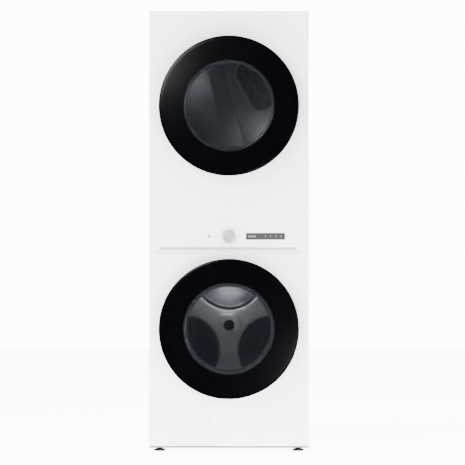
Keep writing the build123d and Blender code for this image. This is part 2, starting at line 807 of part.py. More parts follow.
# Drum bearings: two ball bearings in the hub, drawn as their outer and inner rings in one.
bearing_width = 14.0
with BuildPart() as drum_bearings:
    for bearing_y in (tub_back_y, hub_back_y - bearing_width - 2):
        turned(0, washer_axis, [
            (bearing_y, shaft_radius + run_gap), (bearing_y + bearing_width, shaft_radius + run_gap),
            (bearing_y + bearing_width, bearing_radius - seat_gap),
            (bearing_y, bearing_radius - seat_gap),
        ])
drum_bearings.part.label = "drum_bearings"
export_step(drum_bearings.part, "parts/drum_bearings.step")

# Washer drum: a perforated steel shell with a rolled mouth.
with BuildPart() as washer_drum:
    turned(0, washer_axis, [
        (drum_front, drum_mouth), (drum_front, washer_drum_radius),
        (drum_back, washer_drum_radius), (drum_back, washer_drum_radius - drum_sheet),
        (drum_front + drum_sheet, washer_drum_radius - drum_sheet),
        (drum_front + drum_sheet, drum_mouth + drum_sheet),
        (drum_front + 12, drum_mouth + drum_sheet), (drum_front + 12, drum_mouth),
    ])
washer_drum.part.label = "washer_drum"
export_step(washer_drum.part, "parts/washer_drum.step")

# Drum back: a pressed plate with three round lobes sunk between three raised arms.
back_thick = 12.0
lobe_radius = 157.0
lobe_distance = 222.0
lobe_depth = 8.0
back_y0 = drum_back - back_thick - 2
back_radius = washer_drum_radius - drum_sheet
with BuildPart() as washer_drum_back:
    bar(0, washer_axis, back_radius, back_y0, back_y0 + back_thick)
    with BuildSketch(front_plane(back_y0, 0, washer_axis)):
        with PolarLocations(lobe_distance, 3, start_angle=90):
            Circle(lobe_radius)
        Circle(back_radius - 8, mode=Mode.INTERSECT)
    extrude(amount=-lobe_depth, mode=Mode.SUBTRACT)
    bar(0, washer_axis, 24, back_y0 - 9, back_y0)
washer_drum_back.part.label = "washer_drum_back"
export_step(washer_drum_back.part, "parts/washer_drum_back.step")

# Drum lifters: three hollow vanes on the drum wall that lift the wash.
lifter_height = 48.0
with BuildPart() as washer_drum_lifters:
    lifter_root = back_radius + 2
    lifter_top = back_radius - lifter_height
    with BuildSketch(front_plane(drum_front + 60, 0, washer_axis)):
        with PolarLocations(0, 3, start_angle=30):
            with BuildLine():
                Polyline(
                    (lifter_root, -38), (lifter_top, -12), (lifter_top, 12), (lifter_root, 38),
                    close=True,
                )
            make_face()
        Circle(back_radius, mode=Mode.INTERSECT)
    extrude(amount=-(washer_drum_depth - 150))
washer_drum_lifters.part.label = "washer_drum_lifters"
export_step(washer_drum_lifters.part, "parts/washer_drum_lifters.step")

# Drum shaft: a flange bolted to the drum back and the shaft through both bearings.
shaft_end = hub_back_y + 34
drum_back_y = back_y0 + back_thick
with BuildPart() as drum_shaft:
    bar(0, washer_axis, 70, drum_back_y, drum_back_y + 8)
    bar(0, washer_axis, shaft_radius, drum_back_y + 8, shaft_end)
drum_shaft.part.label = "drum_shaft"
export_step(drum_shaft.part, "parts/drum_shaft.step")

# Motor stator: the wound core round the hub. Its teeth point outwards.
stator_y = tub_back_y + 8
stator_teeth = 24
with BuildPart() as motor_stator:
    turned(0, washer_axis, [
        (tub_back_y, hub_radius + seat_gap), (stator_y + 28, hub_radius + seat_gap),
        (stator_y + 28, stator_radius - 35), (stator_y, stator_radius - 35),
        (stator_y, hub_radius + 12), (tub_back_y, hub_radius + 12),
    ])
    with BuildSketch(front_plane(stator_y + 2, 0, washer_axis)):
        with PolarLocations(stator_radius - 24, stator_teeth):
            Rectangle(38, 9)
        with PolarLocations(stator_radius - 4, stator_teeth):
            Rectangle(6, 20)
        Circle(stator_radius, mode=Mode.INTERSECT)
    extrude(amount=-24)
motor_stator.part.label = "motor_stator"
export_step(motor_stator.part, "parts/motor_stator.step")

# Motor rotor: a cup round the stator, pressed on the end of the drum shaft.
rotor_wall = 4.0
with BuildPart() as motor_rotor:
    rotor_y0 = stator_y - 2
    rotor_y1 = hub_back_y + 16
    turned(0, washer_axis, [
        (rotor_y0, stator_radius + 3), (rotor_y0, rotor_radius),
        (rotor_y1, rotor_radius), (rotor_y1, 34), (rotor_y1 + 8, 34),
        (rotor_y1 + 8, shaft_radius), (rotor_y1 - rotor_wall, shaft_radius),
        (rotor_y1 - rotor_wall, stator_radius + 3),
    ])
motor_rotor.part.label = "motor_rotor"
export_step(motor_rotor.part, "parts/motor_rotor.step")

# Dampers: two cylinders on the base pan and two rods under the tub.
damper_top = 150.0
rod_radius = 6.0
damper_y = (tub_front_y + tub_back_y) / 2
with BuildPart() as damper_cylinders:
    for side in (-1, 1):
        post(side * damper_x, damper_y, damper_radius + 10, base_z + 2, base_z + 6)
        post(side * damper_x, damper_y, damper_radius, base_z + 6, damper_top)
        post(
            side * damper_x, damper_y, rod_radius + edge_gap, base_z + 12, damper_top,
            mode=Mode.SUBTRACT,
        )
damper_cylinders.part.label = "damper_cylinders"
export_step(damper_cylinders.part, "parts/damper_cylinders.step")
with BuildPart() as damper_rods:
    for side in (-1, 1):
        post(side * damper_x, damper_y, rod_radius, damper_top - 80, washer_axis)
        post(side * damper_x, damper_y, damper_radius, damper_top + 60, washer_axis)
    bar(0, washer_axis, tub_radius, tub_front_y, tub_back_y, mode=Mode.SUBTRACT)
damper_rods.part.label = "damper_rods"
export_step(damper_rods.part, "parts/damper_rods.step")

# Suspension springs: the outer shape of four coil springs from the deck to the tub's ears.
with BuildPart() as suspension_springs:
    for spring_y in spring_rows:
        for side in (-1, 1):
            post(side * spring_x, spring_y, spring_radius, ear_z, deck_z)
            post(
                side * spring_x, spring_y, spring_radius - 3, ear_z + 6, deck_z - 6,
                mode=Mode.SUBTRACT,
            )
suspension_springs.part.label = "suspension_springs"
export_step(suspension_springs.part, "parts/suspension_springs.step")

# Inlet valves: hot and cold threaded spigots on one valve body inside the rear panel.
with BuildPart() as inlet_valves:
    valve_x = [inlet[0] for inlet in inlets]
    block(
        min(valve_x) - 20, max(valve_x) + 20, rear_y - 45, rear_y,
        inlet_rise - 20, inlet_rise + 20,
    )
    for inlet_x, inlet_z in inlets:
        bar(inlet_x, inlet_z, inlet_radius - 1, rear_y, back_y)
        bar(inlet_x, inlet_z, inlet_radius, back_y, pipe_end_y)
        bar(inlet_x, inlet_z, inlet_radius - 4, rear_y - 10, pipe_end_y, mode=Mode.SUBTRACT)
inlet_valves.part.label = "inlet_valves"
export_step(inlet_valves.part, "parts/inlet_valves.step")

# Drain pump: a round sump behind the hatch, and its outlet pipe to the rear panel.
pump_front = front_y + 30
pump_back = pump_front + 130
with BuildPart() as drain_pump:
    block(
        pump_x - 30, pump_x + 30, pump_front + 10, pump_back - 10, base_z + 2, pump_z,
    )
    bar(pump_x, pump_z, pump_radius, pump_front, pump_back)
    bar(pump_x, pump_z, filter_cap_radius + edge_gap, pump_front, pump_back - 20, mode=Mode.SUBTRACT)
    block(drain_x, pump_x - 25, pump_back - 40, pump_back - 20, drain_z - 8, drain_z + 8)
    bar(drain_x, drain_z, drain_radius - 1, pump_back - 45, back_y)
    bar(drain_x, drain_z, drain_radius, back_y, pipe_end_y)
    bar(drain_x, drain_z, drain_radius - 3.5, rear_y - 60, pipe_end_y, mode=Mode.SUBTRACT)
drain_pump.part.label = "drain_pump"
export_step(drain_pump.part, "parts/drain_pump.step")

# Drain filter: a screw-in strainer with a grip bar, reached through the hatch.
filter_face = pump_front - 6
with BuildPart() as drain_filter:
    bar(pump_x, pump_z, filter_cap_radius + 4, filter_face, pump_front - edge_gap)
    block(
        pump_x - filter_cap_radius + 4, pump_x + filter_cap_radius - 4,
        filter_face - 9, filter_face, pump_z - 4, pump_z + 4,
    )
    bar(pump_x, pump_z, filter_cap_radius, pump_front - edge_gap, pump_front + 90)
    bar(pump_x, pump_z, filter_cap_radius - 3, pump_front + 12, pump_front + 90, mode=Mode.SUBTRACT)
drain_filter.part.label = "drain_filter"
export_step(drain_filter.part, "parts/drain_filter.step")

# ================================================================ dryer
dryer_front_y = front_y + dryer_drum_front
dryer_back_y = dryer_front_y + dryer_drum_depth
throat_outer = throat_radius + 3.5
throat_end = dryer_front_y - 6
plate_y = dryer_front_y - 15
plate_bottom = dryer_axis - 312
plate_top = dryer_axis + 330
slot_y0 = front_y + 27
slot_y1 = slot_y0 + filter_thick + 2 * edge_gap

# Front bulkhead: the plate across the cabinet with the throat that the door closes on.
with BuildPart() as dryer_front_bulkhead:
    block(-inside_x, inside_x, plate_y, plate_y + sheet, plate_bottom, plate_top)
    bar(0, dryer_axis, throat_outer, front_y + flange_depth, throat_end)
    bar(0, dryer_axis, throat_radius, front_y + flange_depth, throat_end, mode=Mode.SUBTRACT)
    slot_half = filter_width / 2 + edge_gap
    block(
        -slot_half, slot_half, slot_y0, slot_y1, dryer_axis - throat_outer, dryer_axis,
        mode=Mode.SUBTRACT,
    )
dryer_front_bulkhead.part.label = "dryer_front_bulkhead"
export_step(dryer_front_bulkhead.part, "parts/dryer_front_bulkhead.step")

# Lint filter: a flat screened cassette that drops into the slot in the throat.
filter_top = dryer_axis - throat_radius + 8
filter_y = slot_y0 + edge_gap
with BuildPart() as lint_filter:
    half = filter_width / 2
    block(-half, half, filter_y, filter_y + filter_thick, filter_top - filter_length, filter_top)
    for column in (-1, 0, 1):
        window_x = column * filter_width / 3
        block(
            window_x - 30, window_x + 30, filter_y, filter_y + filter_thick,
            filter_top - filter_length + 12, filter_top - 24, mode=Mode.SUBTRACT,
        )
        block(
            window_x - 30, window_x + 30, filter_y + 9, filter_y + 11,
            filter_top - filter_length + 12, filter_top - 24,
        )
lint_filter.part.label = "lint_filter"
export_step(lint_filter.part, "parts/lint_filter.step")

# Drum: a steel shell that turns round the throat at the front and the bulkhead at the back.
with BuildPart() as dryer_drum:
    turned(0, dryer_axis, [
        (dryer_front_y, dryer_mouth), (dryer_front_y, dryer_drum_radius),
        (dryer_back_y, dryer_drum_radius), (dryer_back_y, dryer_drum_radius - drum_sheet),
        (dryer_front_y + drum_sheet, dryer_drum_radius - drum_sheet),
        (dryer_front_y + drum_sheet, dryer_mouth),
    ])
dryer_drum.part.label = "dryer_drum"
export_step(dryer_drum.part, "parts/dryer_drum.step")

dryer_inner = dryer_drum_radius - drum_sheet
with BuildPart() as dryer_drum_lifters:
    with BuildSketch(front_plane(dryer_front_y + 40, 0, dryer_axis)):
        with PolarLocations(0, 3, start_angle=0):
            with BuildLine():
                Polyline(
                    (dryer_inner + 2, -30), (dryer_inner - 60, -9), (dryer_inner - 60, 9),
                    (dryer_inner + 2, 30), close=True,
                )
            make_face()
        Circle(dryer_inner, mode=Mode.INTERSECT)
    extrude(amount=-(dryer_drum_depth - 110))
dryer_drum_lifters.part.label = "dryer_drum_lifters"
export_step(dryer_drum_lifters.part, "parts/dryer_drum_lifters.step")

# Rear bulkhead: a plate with a raised round pan that closes the drum. The pan's face is
# pressed into a high side, a long ramp and a low side; the air grille is let into it.
pan_radius = dryer_inner - 3
pan_face = dryer_back_y - 12
rear_plate_y = dryer_back_y + 8
ramp_tilt = 14.5
ramp_start = -50.0
ramp_end = 31.0
press_height = 10.0
press_step = 3.0
press_feather = 0.5        # the ramp ends this far above the pan's face
press_edge = 12.0          # plain border of the pan outside the pressing
grille_rim = 8.0
along = Vector(1, 0, 0).rotate(Axis.Y, -grille_tilt)
across = Vector(0, 0, 1).rotate(Axis.Y, -grille_tilt)
grille_middle = Vector(0, 0, dryer_axis) + across * grille_across + along * grille_along


def grille_plane(y):
    """The plane of the air grille at one depth, with its length along local X."""
    origin = (grille_middle.X, y, grille_middle.Z)
    return Plane(origin=origin, x_dir=(along.X, 0, along.Z), z_dir=(0, -1, 0))


def grille_outline(margin, mode=Mode.ADD):
    """The grille's rounded outline, grown by a margin."""
    RectangleRounded(
        grille_length + 2 * margin, grille_width + 2 * margin, grille_corner + margin, mode=mode
    )


ramp_plane = Plane(origin=(0, 0, dryer_axis), x_dir=(1, 0, 0), z_dir=(0, 0, 1)).rotated(
    (0, -ramp_tilt, 0)
)
with BuildPart() as pressed_face:
    with BuildSketch(ramp_plane.offset(-pan_radius)):
        with BuildLine():
            Polyline(
                (-pan_radius, pan_face), (-pan_radius, pan_face - press_height),
                (ramp_start, pan_face - press_height), (ramp_end, pan_face - press_feather),
                (ramp_end, pan_face - press_step), (pan_radius, pan_face - press_step),
                (pan_radius, pan_face), close=True,
            )
        make_face()
    extrude(amount=2 * pan_radius)
    with BuildSketch(front_plane(pan_face, 0, dryer_axis)):
        Circle(pan_radius - press_edge)
    extrude(amount=press_height, mode=Mode.INTERSECT)

roller_x = (dryer_drum_radius + roller_radius + run_gap) * math.sin(math.radians(roller_angle))
roller_drop = (dryer_drum_radius + roller_radius + run_gap) * math.cos(math.radians(roller_angle))
roller_z = dryer_axis - roller_drop
roller_y0 = dryer_back_y - 50
roller_stud_radius = 6.0
with BuildPart() as dryer_rear_bulkhead:
    block(-inside_x, inside_x, rear_plate_y, rear_plate_y + sheet, plate_bottom, plate_top)
    turned(0, dryer_axis, [
        (rear_plate_y, pan_radius), (pan_face, pan_radius), (pan_face, 0),
        (pan_face + sheet, 0), (pan_face + sheet, pan_radius - sheet),
        (rear_plate_y, pan_radius - sheet),
    ])
    bar(
        0, dryer_axis, pan_radius - sheet, pan_face + sheet, rear_plate_y + sheet,
        mode=Mode.SUBTRACT,
    )
    add(pressed_face.part)
    with BuildSketch(grille_plane(pan_face - press_height - 1)):
        grille_outline(-grille_rim)
    extrude(amount=-(press_height + 20), mode=Mode.SUBTRACT)
    for side in (-1, 1):
        bar(side * roller_x, roller_z, roller_stud_radius, roller_y0 - 4, rear_plate_y)
dryer_rear_bulkhead.part.label = "dryer_rear_bulkhead"
export_step(dryer_rear_bulkhead.part, "parts/dryer_rear_bulkhead.step")

# Drum rollers: two rubber-tyred wheels under the back of the drum.
for side, roller_name in ((-1, "roller_left"), (1, "roller_right")):
    with BuildPart() as roller:
        bar(side * roller_x, roller_z, roller_radius, roller_y0, roller_y0 + roller_width)
        bar(
            side * roller_x, roller_z, roller_stud_radius + run_gap,
            roller_y0, roller_y0 + roller_width, mode=Mode.SUBTRACT,
        )
    roller.part.label = roller_name
    export_step(roller.part, f"parts/{roller_name}.step")

# Air grille: the perforated plate that the hot air comes through, with a raised rim. It
# is screwed on the front of the bulkhead, over the opening.
grille_face = pan_face - press_height - 4
grille_plate = 2.0
hole_radius = 3.6
hole_pitch = 11.6
row_pitch = hole_pitch * math.sqrt(3) / 2


def inside_grille(x, y, margin):
    """Whether a point lies inside the grille's outline, drawn in by a margin."""
    corner_x = max(abs(x) - (grille_length / 2 - grille_corner), 0)
    corner_y = max(abs(y) - (grille_width / 2 - grille_corner), 0)
    return math.hypot(corner_x, corner_y) < grille_corner - margin


hole_places = []
rows = int(grille_width / row_pitch / 2)
columns = int(grille_length / hole_pitch / 2) + 1
for row in range(-rows, rows + 1):
    for column in range(-columns, columns + 1):
        hole = ((column + row % 2 / 2) * hole_pitch, row * row_pitch)
        if inside_grille(*hole, grille_rim + hole_radius + 1):
            hole_places.append(hole)
with BuildPart() as dryer_air_grille:
    with BuildSketch(grille_plane(grille_face + 4)):
        grille_outline(0)
        with Locations(*hole_places):
            RegularPolygon(radius=hole_radius, side_count=6, mode=Mode.SUBTRACT)
    extrude(amount=grille_plate)
    with BuildSketch(grille_plane(grille_face + 4 - grille_plate)):
        grille_outline(0)
        grille_outline(-grille_rim, mode=Mode.SUBTRACT)
    extrude(amount=2)
dryer_air_grille.part.label = "dryer_air_grille"
export_step(dryer_air_grille.part, "parts/dryer_air_grille.step")

# Heater housing: the hot air box behind the grille, open to it.
heater_y1 = rear_plate_y + sheet + 60
with BuildPart() as heater_housing:
    with BuildSketch(grille_plane(heater_y1)):
        grille_outline(6)
    extrude(amount=heater_y1 - rear_plate_y - sheet)
    with BuildSketch(grille_plane(heater_y1 - 2)):
        grille_outline(4)
    extrude(amount=heater_y1, mode=Mode.SUBTRACT)
heater_housing.part.label = "heater_housing"
export_step(heater_housing.part, "parts/heater_housing.step")

# Blower housing: the round fan casing with the lint duct up to the throat and the outlet
# box that the exhaust pipe starts from.
casing_radius = wheel_radius + 20
casing_y0 = front_y + 47
casing_y1 = casing_y0 + 65
duct_y0 = slot_y0 - 4
duct_half = filter_width / 2 + 2 * edge_gap
duct_wall = 2.0
duct_bottom = motor_z - 8
outlet_x1 = exhaust_x + exhaust_radius + 5
outlet_z0 = exhaust_z - exhaust_radius - 4
outlet_z1 = exhaust_z + exhaust_radius + 5
with BuildPart() as blower_housing:
    bar(motor_x, motor_z, casing_radius, casing_y0, casing_y1)
    block(
        -duct_half - duct_wall, duct_half + duct_wall, duct_y0, plate_y,
        duct_bottom, dryer_axis,
    )
    block(motor_x, outlet_x1, casing_y0, casing_y1, outlet_z0, outlet_z1)
    bar(motor_x, motor_z, casing_radius - 2, casing_y0 + 2, casing_y1 - 2, mode=Mode.SUBTRACT)
    block(
        -duct_half, duct_half, duct_y0 + duct_wall, plate_y - duct_wall,
        duct_bottom + duct_wall, dryer_axis, mode=Mode.SUBTRACT,
    )
    block(
        motor_x + casing_radius / 2, outlet_x1 - 2, casing_y0 + 2, casing_y1 - 2,
        outlet_z0 + 2, outlet_z1 - 2, mode=Mode.SUBTRACT,
    )
    bar(0, dryer_axis, throat_outer, duct_y0 - 1, plate_y + 1, mode=Mode.SUBTRACT)
    bar(
        motor_x, motor_z, motor_shaft_radius + edge_gap, casing_y1 - 3, casing_y1 + 1,
        mode=Mode.SUBTRACT,
    )
    bar(exhaust_x, exhaust_z, exhaust_radius - 2, casing_y1 - 3, casing_y1 + 1, mode=Mode.SUBTRACT)
blower_housing.part.label = "blower_housing"
export_step(blower_housing.part, "parts/blower_housing.step")

# Exhaust duct: a round steel pipe from the blower's outlet box to behind the rear panel.
with BuildPart() as exhaust_duct:
    bar(exhaust_x, exhaust_z, exhaust_radius - 1, casing_y1, back_y)
    bar(exhaust_x, exhaust_z, exhaust_radius, back_y, pipe_end_y)
    bar(exhaust_x, exhaust_z, exhaust_radius - 2.2, casing_y1, pipe_end_y, mode=Mode.SUBTRACT)
exhaust_duct.part.label = "exhaust_duct"
export_step(exhaust_duct.part, "parts/exhaust_duct.step")

# Blower wheel: a backplate with straight blades, pressed on the motor shaft.
wheel_y0 = casing_y0 + 12
wheel_y1 = casing_y1 - 8
blades = 16
with BuildPart() as blower_wheel:
    bar(motor_x, motor_z, wheel_radius, wheel_y1 - 2, wheel_y1)
    bar(motor_x, motor_z, motor_shaft_radius + 8, wheel_y0 + 5, wheel_y1 - 2)
    with BuildSketch(front_plane(wheel_y1 - 2, motor_x, motor_z)):
        with PolarLocations(wheel_radius - 20, blades):
            Rectangle(38, 2)
    extrude(amount=wheel_y1 - 2 - wheel_y0)
    bar(motor_x, motor_z, motor_shaft_radius, wheel_y0, wheel_y1, mode=Mode.SUBTRACT)
blower_wheel.part.label = "blower_wheel"
export_step(blower_wheel.part, "parts/blower_wheel.step")

# Motor: a round casing with end bells on a foot that is screwed to the deck.
motor_y0 = casing_y1 + 40
motor_y1 = motor_y0 + 150
with BuildPart() as dryer_motor:
    bar(motor_x, motor_z, motor_radius, motor_y0 + 12, motor_y1 - 12)
    bar(motor_x, motor_z, motor_radius - 22, motor_y0, motor_y1)
    block(
        motor_x - 45, motor_x + 25, motor_y0 + 30, motor_y1 - 30, deck_z + 2, motor_z - 20,
    )
    bar(
        motor_x, motor_z, motor_shaft_radius + run_gap, motor_y0, motor_y1, mode=Mode.SUBTRACT,
    )
dryer_motor.part.label = "dryer_motor"
export_step(dryer_motor.part, "parts/dryer_motor.step")

# Motor shaft: it carries the blower wheel in front and the belt pulley behind the motor.
pulley_y0 = motor_y1 + 10
with BuildPart() as motor_shaft:
    bar(motor_x, motor_z, motor_shaft_radius, wheel_y0, pulley_y0)
    bar(motor_x, motor_z, pulley_radius, pulley_y0, pulley_y0 + belt_width + 4)
    bar(motor_x, motor_z, pulley_radius + 3, pulley_y0, pulley_y0 + 1)
    bar(
        motor_x, motor_z, pulley_radius + 3, pulley_y0 + belt_width + 3,
        pulley_y0 + belt_width + 4,
    )
motor_shaft.part.label = "motor_shaft"
export_step(motor_shaft.part, "parts/motor_shaft.step")

# Belt: one flat ribbed loop round the drum and the pulley.
belt_y = pulley_y0 + 2


def belt_outline(growth, mode=Mode.ADD):
    """The taut outline round the drum and the pulley, a growth outside both."""
    drum_r = dryer_drum_radius + growth
    pulley_r = pulley_radius + growth
    run_x = motor_x
    run_z = motor_z - dryer_axis
    distance = math.hypot(run_x, run_z)
    heading = math.atan2(run_z, run_x)
    spread = math.acos((drum_r - pulley_r) / distance)
    corners = []
    for turn in (-1, 1):
        angle = heading + turn * spread
        corners.append((drum_r * math.cos(angle), drum_r * math.sin(angle)))
        corners.append((
            run_x + pulley_r * math.cos(angle), run_z + pulley_r * math.sin(angle)
        ))
    Polygon(corners[0], corners[1], corners[3], corners[2], align=None, mode=mode)
    Circle(drum_r, mode=mode)
    with Locations((run_x, run_z)):
        Circle(pulley_r, mode=mode)


with BuildPart() as dryer_belt:
    with BuildSketch(front_plane(belt_y, 0, dryer_axis)):
        belt_outline(run_gap + belt_thick)
        belt_outline(run_gap, mode=Mode.SUBTRACT)
    extrude(amount=-belt_width)
dryer_belt.part.label = "dryer_belt"
export_step(dryer_belt.part, "parts/dryer_belt.step")
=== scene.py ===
import math

import bmesh
import bpy
from mathutils import Matrix, Vector


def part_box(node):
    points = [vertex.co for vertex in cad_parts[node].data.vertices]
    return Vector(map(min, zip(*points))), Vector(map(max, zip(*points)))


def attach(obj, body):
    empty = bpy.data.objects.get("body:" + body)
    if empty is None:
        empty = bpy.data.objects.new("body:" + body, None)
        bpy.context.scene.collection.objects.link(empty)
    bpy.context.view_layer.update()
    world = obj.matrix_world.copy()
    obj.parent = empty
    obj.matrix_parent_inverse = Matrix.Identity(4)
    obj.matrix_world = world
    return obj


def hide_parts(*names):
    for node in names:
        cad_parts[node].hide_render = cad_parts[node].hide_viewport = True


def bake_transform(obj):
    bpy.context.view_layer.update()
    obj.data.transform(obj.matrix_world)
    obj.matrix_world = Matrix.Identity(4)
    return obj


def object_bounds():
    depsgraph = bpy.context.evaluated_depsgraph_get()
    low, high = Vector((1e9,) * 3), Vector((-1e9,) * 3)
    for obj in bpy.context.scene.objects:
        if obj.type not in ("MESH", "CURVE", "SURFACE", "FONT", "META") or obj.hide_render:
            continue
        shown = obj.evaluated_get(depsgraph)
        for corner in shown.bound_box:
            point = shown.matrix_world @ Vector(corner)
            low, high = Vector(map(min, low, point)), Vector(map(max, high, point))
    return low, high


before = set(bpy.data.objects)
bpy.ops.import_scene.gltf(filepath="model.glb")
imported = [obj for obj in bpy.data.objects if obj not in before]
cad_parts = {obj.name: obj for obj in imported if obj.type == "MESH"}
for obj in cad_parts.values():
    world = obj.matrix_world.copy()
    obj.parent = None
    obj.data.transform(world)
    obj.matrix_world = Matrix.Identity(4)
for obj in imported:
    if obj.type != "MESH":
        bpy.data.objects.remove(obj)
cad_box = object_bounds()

# The floor: a plain sheet of matt pale paper. It isn't part of the machine.
low, high = cad_box
machine_height = high.z - low.z
floor_half = 8.0
bm = bmesh.new()
bmesh.ops.create_grid(bm, x_segments=8, y_segments=8, size=floor_half)
bmesh.ops.translate(bm, verts=bm.verts[:], vec=(0, floor_half + low.y - 2.4, 0))
floor_mesh = bpy.data.meshes.new("paper_floor")
bm.to_mesh(floor_mesh)
bm.free()
paper_floor = bpy.data.objects.new("paper_floor", floor_mesh)
bpy.context.scene.collection.objects.link(paper_floor)


class Value:
    """A material socket with arithmetic: an expression on values adds its Math nodes."""

    def __init__(self, kit, socket):
        self.kit = kit
        self.socket = socket

    def math(self, operation, *others, clamp=False):
        settings = {"operation": operation, "use_clamp": clamp}
        return self.kit.node("ShaderNodeMath", settings, [self, *others])

    def __add__(self, other):
        return self.math("ADD", other)

    def __radd__(self, other):
        return self.math("ADD", other)

    def __sub__(self, other):
        return self.math("SUBTRACT", other)

    def __rsub__(self, other):
        return Value(self.kit, other).math("SUBTRACT", self)

    def __mul__(self, other):
        return self.math("MULTIPLY", other)

    def __rmul__(self, other):
        return self.math("MULTIPLY", other)

    def __truediv__(self, other):
        return self.math("DIVIDE", other)

    def step(self, low_edge, high_edge):
        """0 below one value and 1 above the other, with a smooth rise between."""
        settings = {"interpolation_type": "SMOOTHSTEP"}
        sockets = {"Value": self, "From Min": low_edge, "From Max": high_edge}
        return self.kit.node("ShaderNodeMapRange", settings, sockets)


class Finish:
    """A material under construction. node() makes any node; surface() sets the shader."""

    def __init__(self, name):
        self.material = bpy.data.materials.new(name)
        self.material.use_nodes = True
        self.tree = self.material.node_tree
        self.shader = self.tree.nodes["Principled BSDF"]

    def plug(self, socket, value):
        source = value.socket if isinstance(value, Value) else value
        if isinstance(source, bpy.types.NodeSocket):
            self.tree.links.new(source, socket)
        else:
            socket.default_value = source

    def node(self, kind, settings=None, sockets=None, output=0):
        made = self.tree.nodes.new(kind)
        for name, setting in (settings or {}).items():
            setattr(made, name, setting)
        pairs = sockets.items() if isinstance(sockets, dict) else enumerate(sockets or [])
        for key, value in pairs:
            self.plug(made.inputs[key], value)
        return Value(self, made.outputs[output])

    def place(self, centre=(0, 0, 0), scale=(1, 1, 1)):
        """Object coordinates, centred and scaled."""
        coordinates = self.node("ShaderNodeTexCoord", output="Object")
        shift = [-c * s for c, s in zip(centre, scale)]
        return self.node(
            "ShaderNodeMapping", {"vector_type": "POINT"},
            {"Vector": coordinates, "Location": shift, "Scale": scale},
        )

    def axis(self, vector, letter):
        return self.node("ShaderNodeSeparateXYZ", {}, [vector], output="XYZ".index(letter))

    def noise(self, vector, scale, detail=3.0, rough=0.5):
        sockets = {"Vector": vector, "Scale": scale, "Detail": detail, "Roughness": rough}
        return self.node("ShaderNodeTexNoise", {}, sockets)

    def mix(self, factor, first, second):
        """A colour between two colours."""
        made = self.tree.nodes.new("ShaderNodeMix")
        made.data_type = "RGBA"
        for key, value in ((0, factor), (6, first), (7, second)):
            self.plug(made.inputs[key], value)
        return Value(self, made.outputs[2])

    def bump(self, height, strength, distance):
        sockets = {"Height": height, "Strength": strength, "Distance": distance}
        return self.node("ShaderNodeBump", {}, sockets)

    def surface(self, **inputs):
        for name, value in inputs.items():
            self.plug(self.shader.inputs[name.replace("_", " ")], value)
        return self.material


def grey(value, alpha=1.0):
    return (value, value, value, alpha)


def dress(material, *names):
    """Gives CAD nodes or pieces one material."""
    for name in names:
        mesh = bpy.data.objects[name].data
        mesh.materials.clear()
        mesh.materials.append(material)


# The paper glows a little, so that it is as pale as the room. Glass doesn't mirror it.
paper_floor.visible_glossy = False
paper = Finish("pale_paper")
fibres = paper.noise(paper.place(), 3.0, 5.0)
dress(
    paper.surface(
        Base_Color=paper.mix(fibres, grey(0.93), grey(0.965)), Roughness=0.9,
        Specular_IOR_Level=0.1, Emission_Color=(1, 1, 1, 1), Emission_Strength=9.0,
        Normal=paper.bump(fibres, 0.05, 0.002),
    ),
    "paper_floor",
)

# The camera stands far in front at mid height, square to the doors, with a long lens, so
# that the machine is drawn almost without perspective.
scene = bpy.context.scene
front_panel_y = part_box("upper_front_panel")[0].y
camera_distance = 15.0
camera_side = 0.0155
camera_height = 0.9395
view_width = 1.994
lens_data = bpy.data.cameras.new("camera")
lens_data.sensor_width = 36.0
lens_data.lens = lens_data.sensor_width * camera_distance / view_width
lens_data.clip_end = 60.0
camera = bpy.data.objects.new("camera", lens_data)
camera.location = (camera_side, front_panel_y - camera_distance, camera_height)
camera.rotation_euler = (math.radians(90), 0, 0)
scene.collection.objects.link(camera)
scene.camera = camera

# Soft studio light: a large box at the upper left in front, a weaker one at the lower right,
# one above, one behind, and two small cards far in front. The pale room fills the shadows.
middle = Vector((0, 0, machine_height / 2))
washer_height = sum(corner.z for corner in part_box("washer_drum")) / 2
dryer_height = sum(corner.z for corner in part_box("dryer_drum")) / 2


def softbox(name, place, aim, size, power):
    data = bpy.data.lights.new(name, "AREA")
    data.shape = "RECTANGLE"
    data.size, data.size_y = size
    data.energy = power
    lamp = bpy.data.objects.new(name, data)
    lamp.location = place
    lamp.rotation_euler = (Vector(aim) - Vector(place)).to_track_quat("-Z", "Y").to_euler()
    scene.collection.objects.link(lamp)


softbox("key_box", (-2.6, -3.4, 3.6), middle, (1.8, 1.8), 420)
softbox("fill_box", (2.8, -3.6, 0.8), middle, (1.6, 2.2), 120)
softbox("top_box", (0, -0.6, 4.6), middle, (3.0, 3.0), 200)
softbox("back_box", (1.5, 4.5, 3.0), middle, (2.5, 2.5), 120)
softbox("upper_card", (-1.15, -6.0, 2.55), (0, 0, dryer_height), (1.3, 1.3), 40)
softbox("lower_card", (1.0, -6.0, -0.1), (0, 0, washer_height), (0.9, 0.7), 5)

# Drum lamps: small lights inside each drum's mouth, aimed at the back.
softbox(
    "dryer_lamp", (-0.15, -0.14, dryer_height + 0.14), (0.04, 0.22, dryer_height - 0.03),
    (0.10, 0.10), 0.12,
)
softbox(
    "dryer_side_lamp", (0.17, -0.05, dryer_height - 0.08), (0.05, 0.22, dryer_height + 0.06),
    (0.08, 0.08), 0.10,
)
softbox(
    "washer_lamp", (0, -0.06, washer_height + 0.15), (0, 0.21, washer_height - 0.10),
    (0.09, 0.06), 0.45,
)

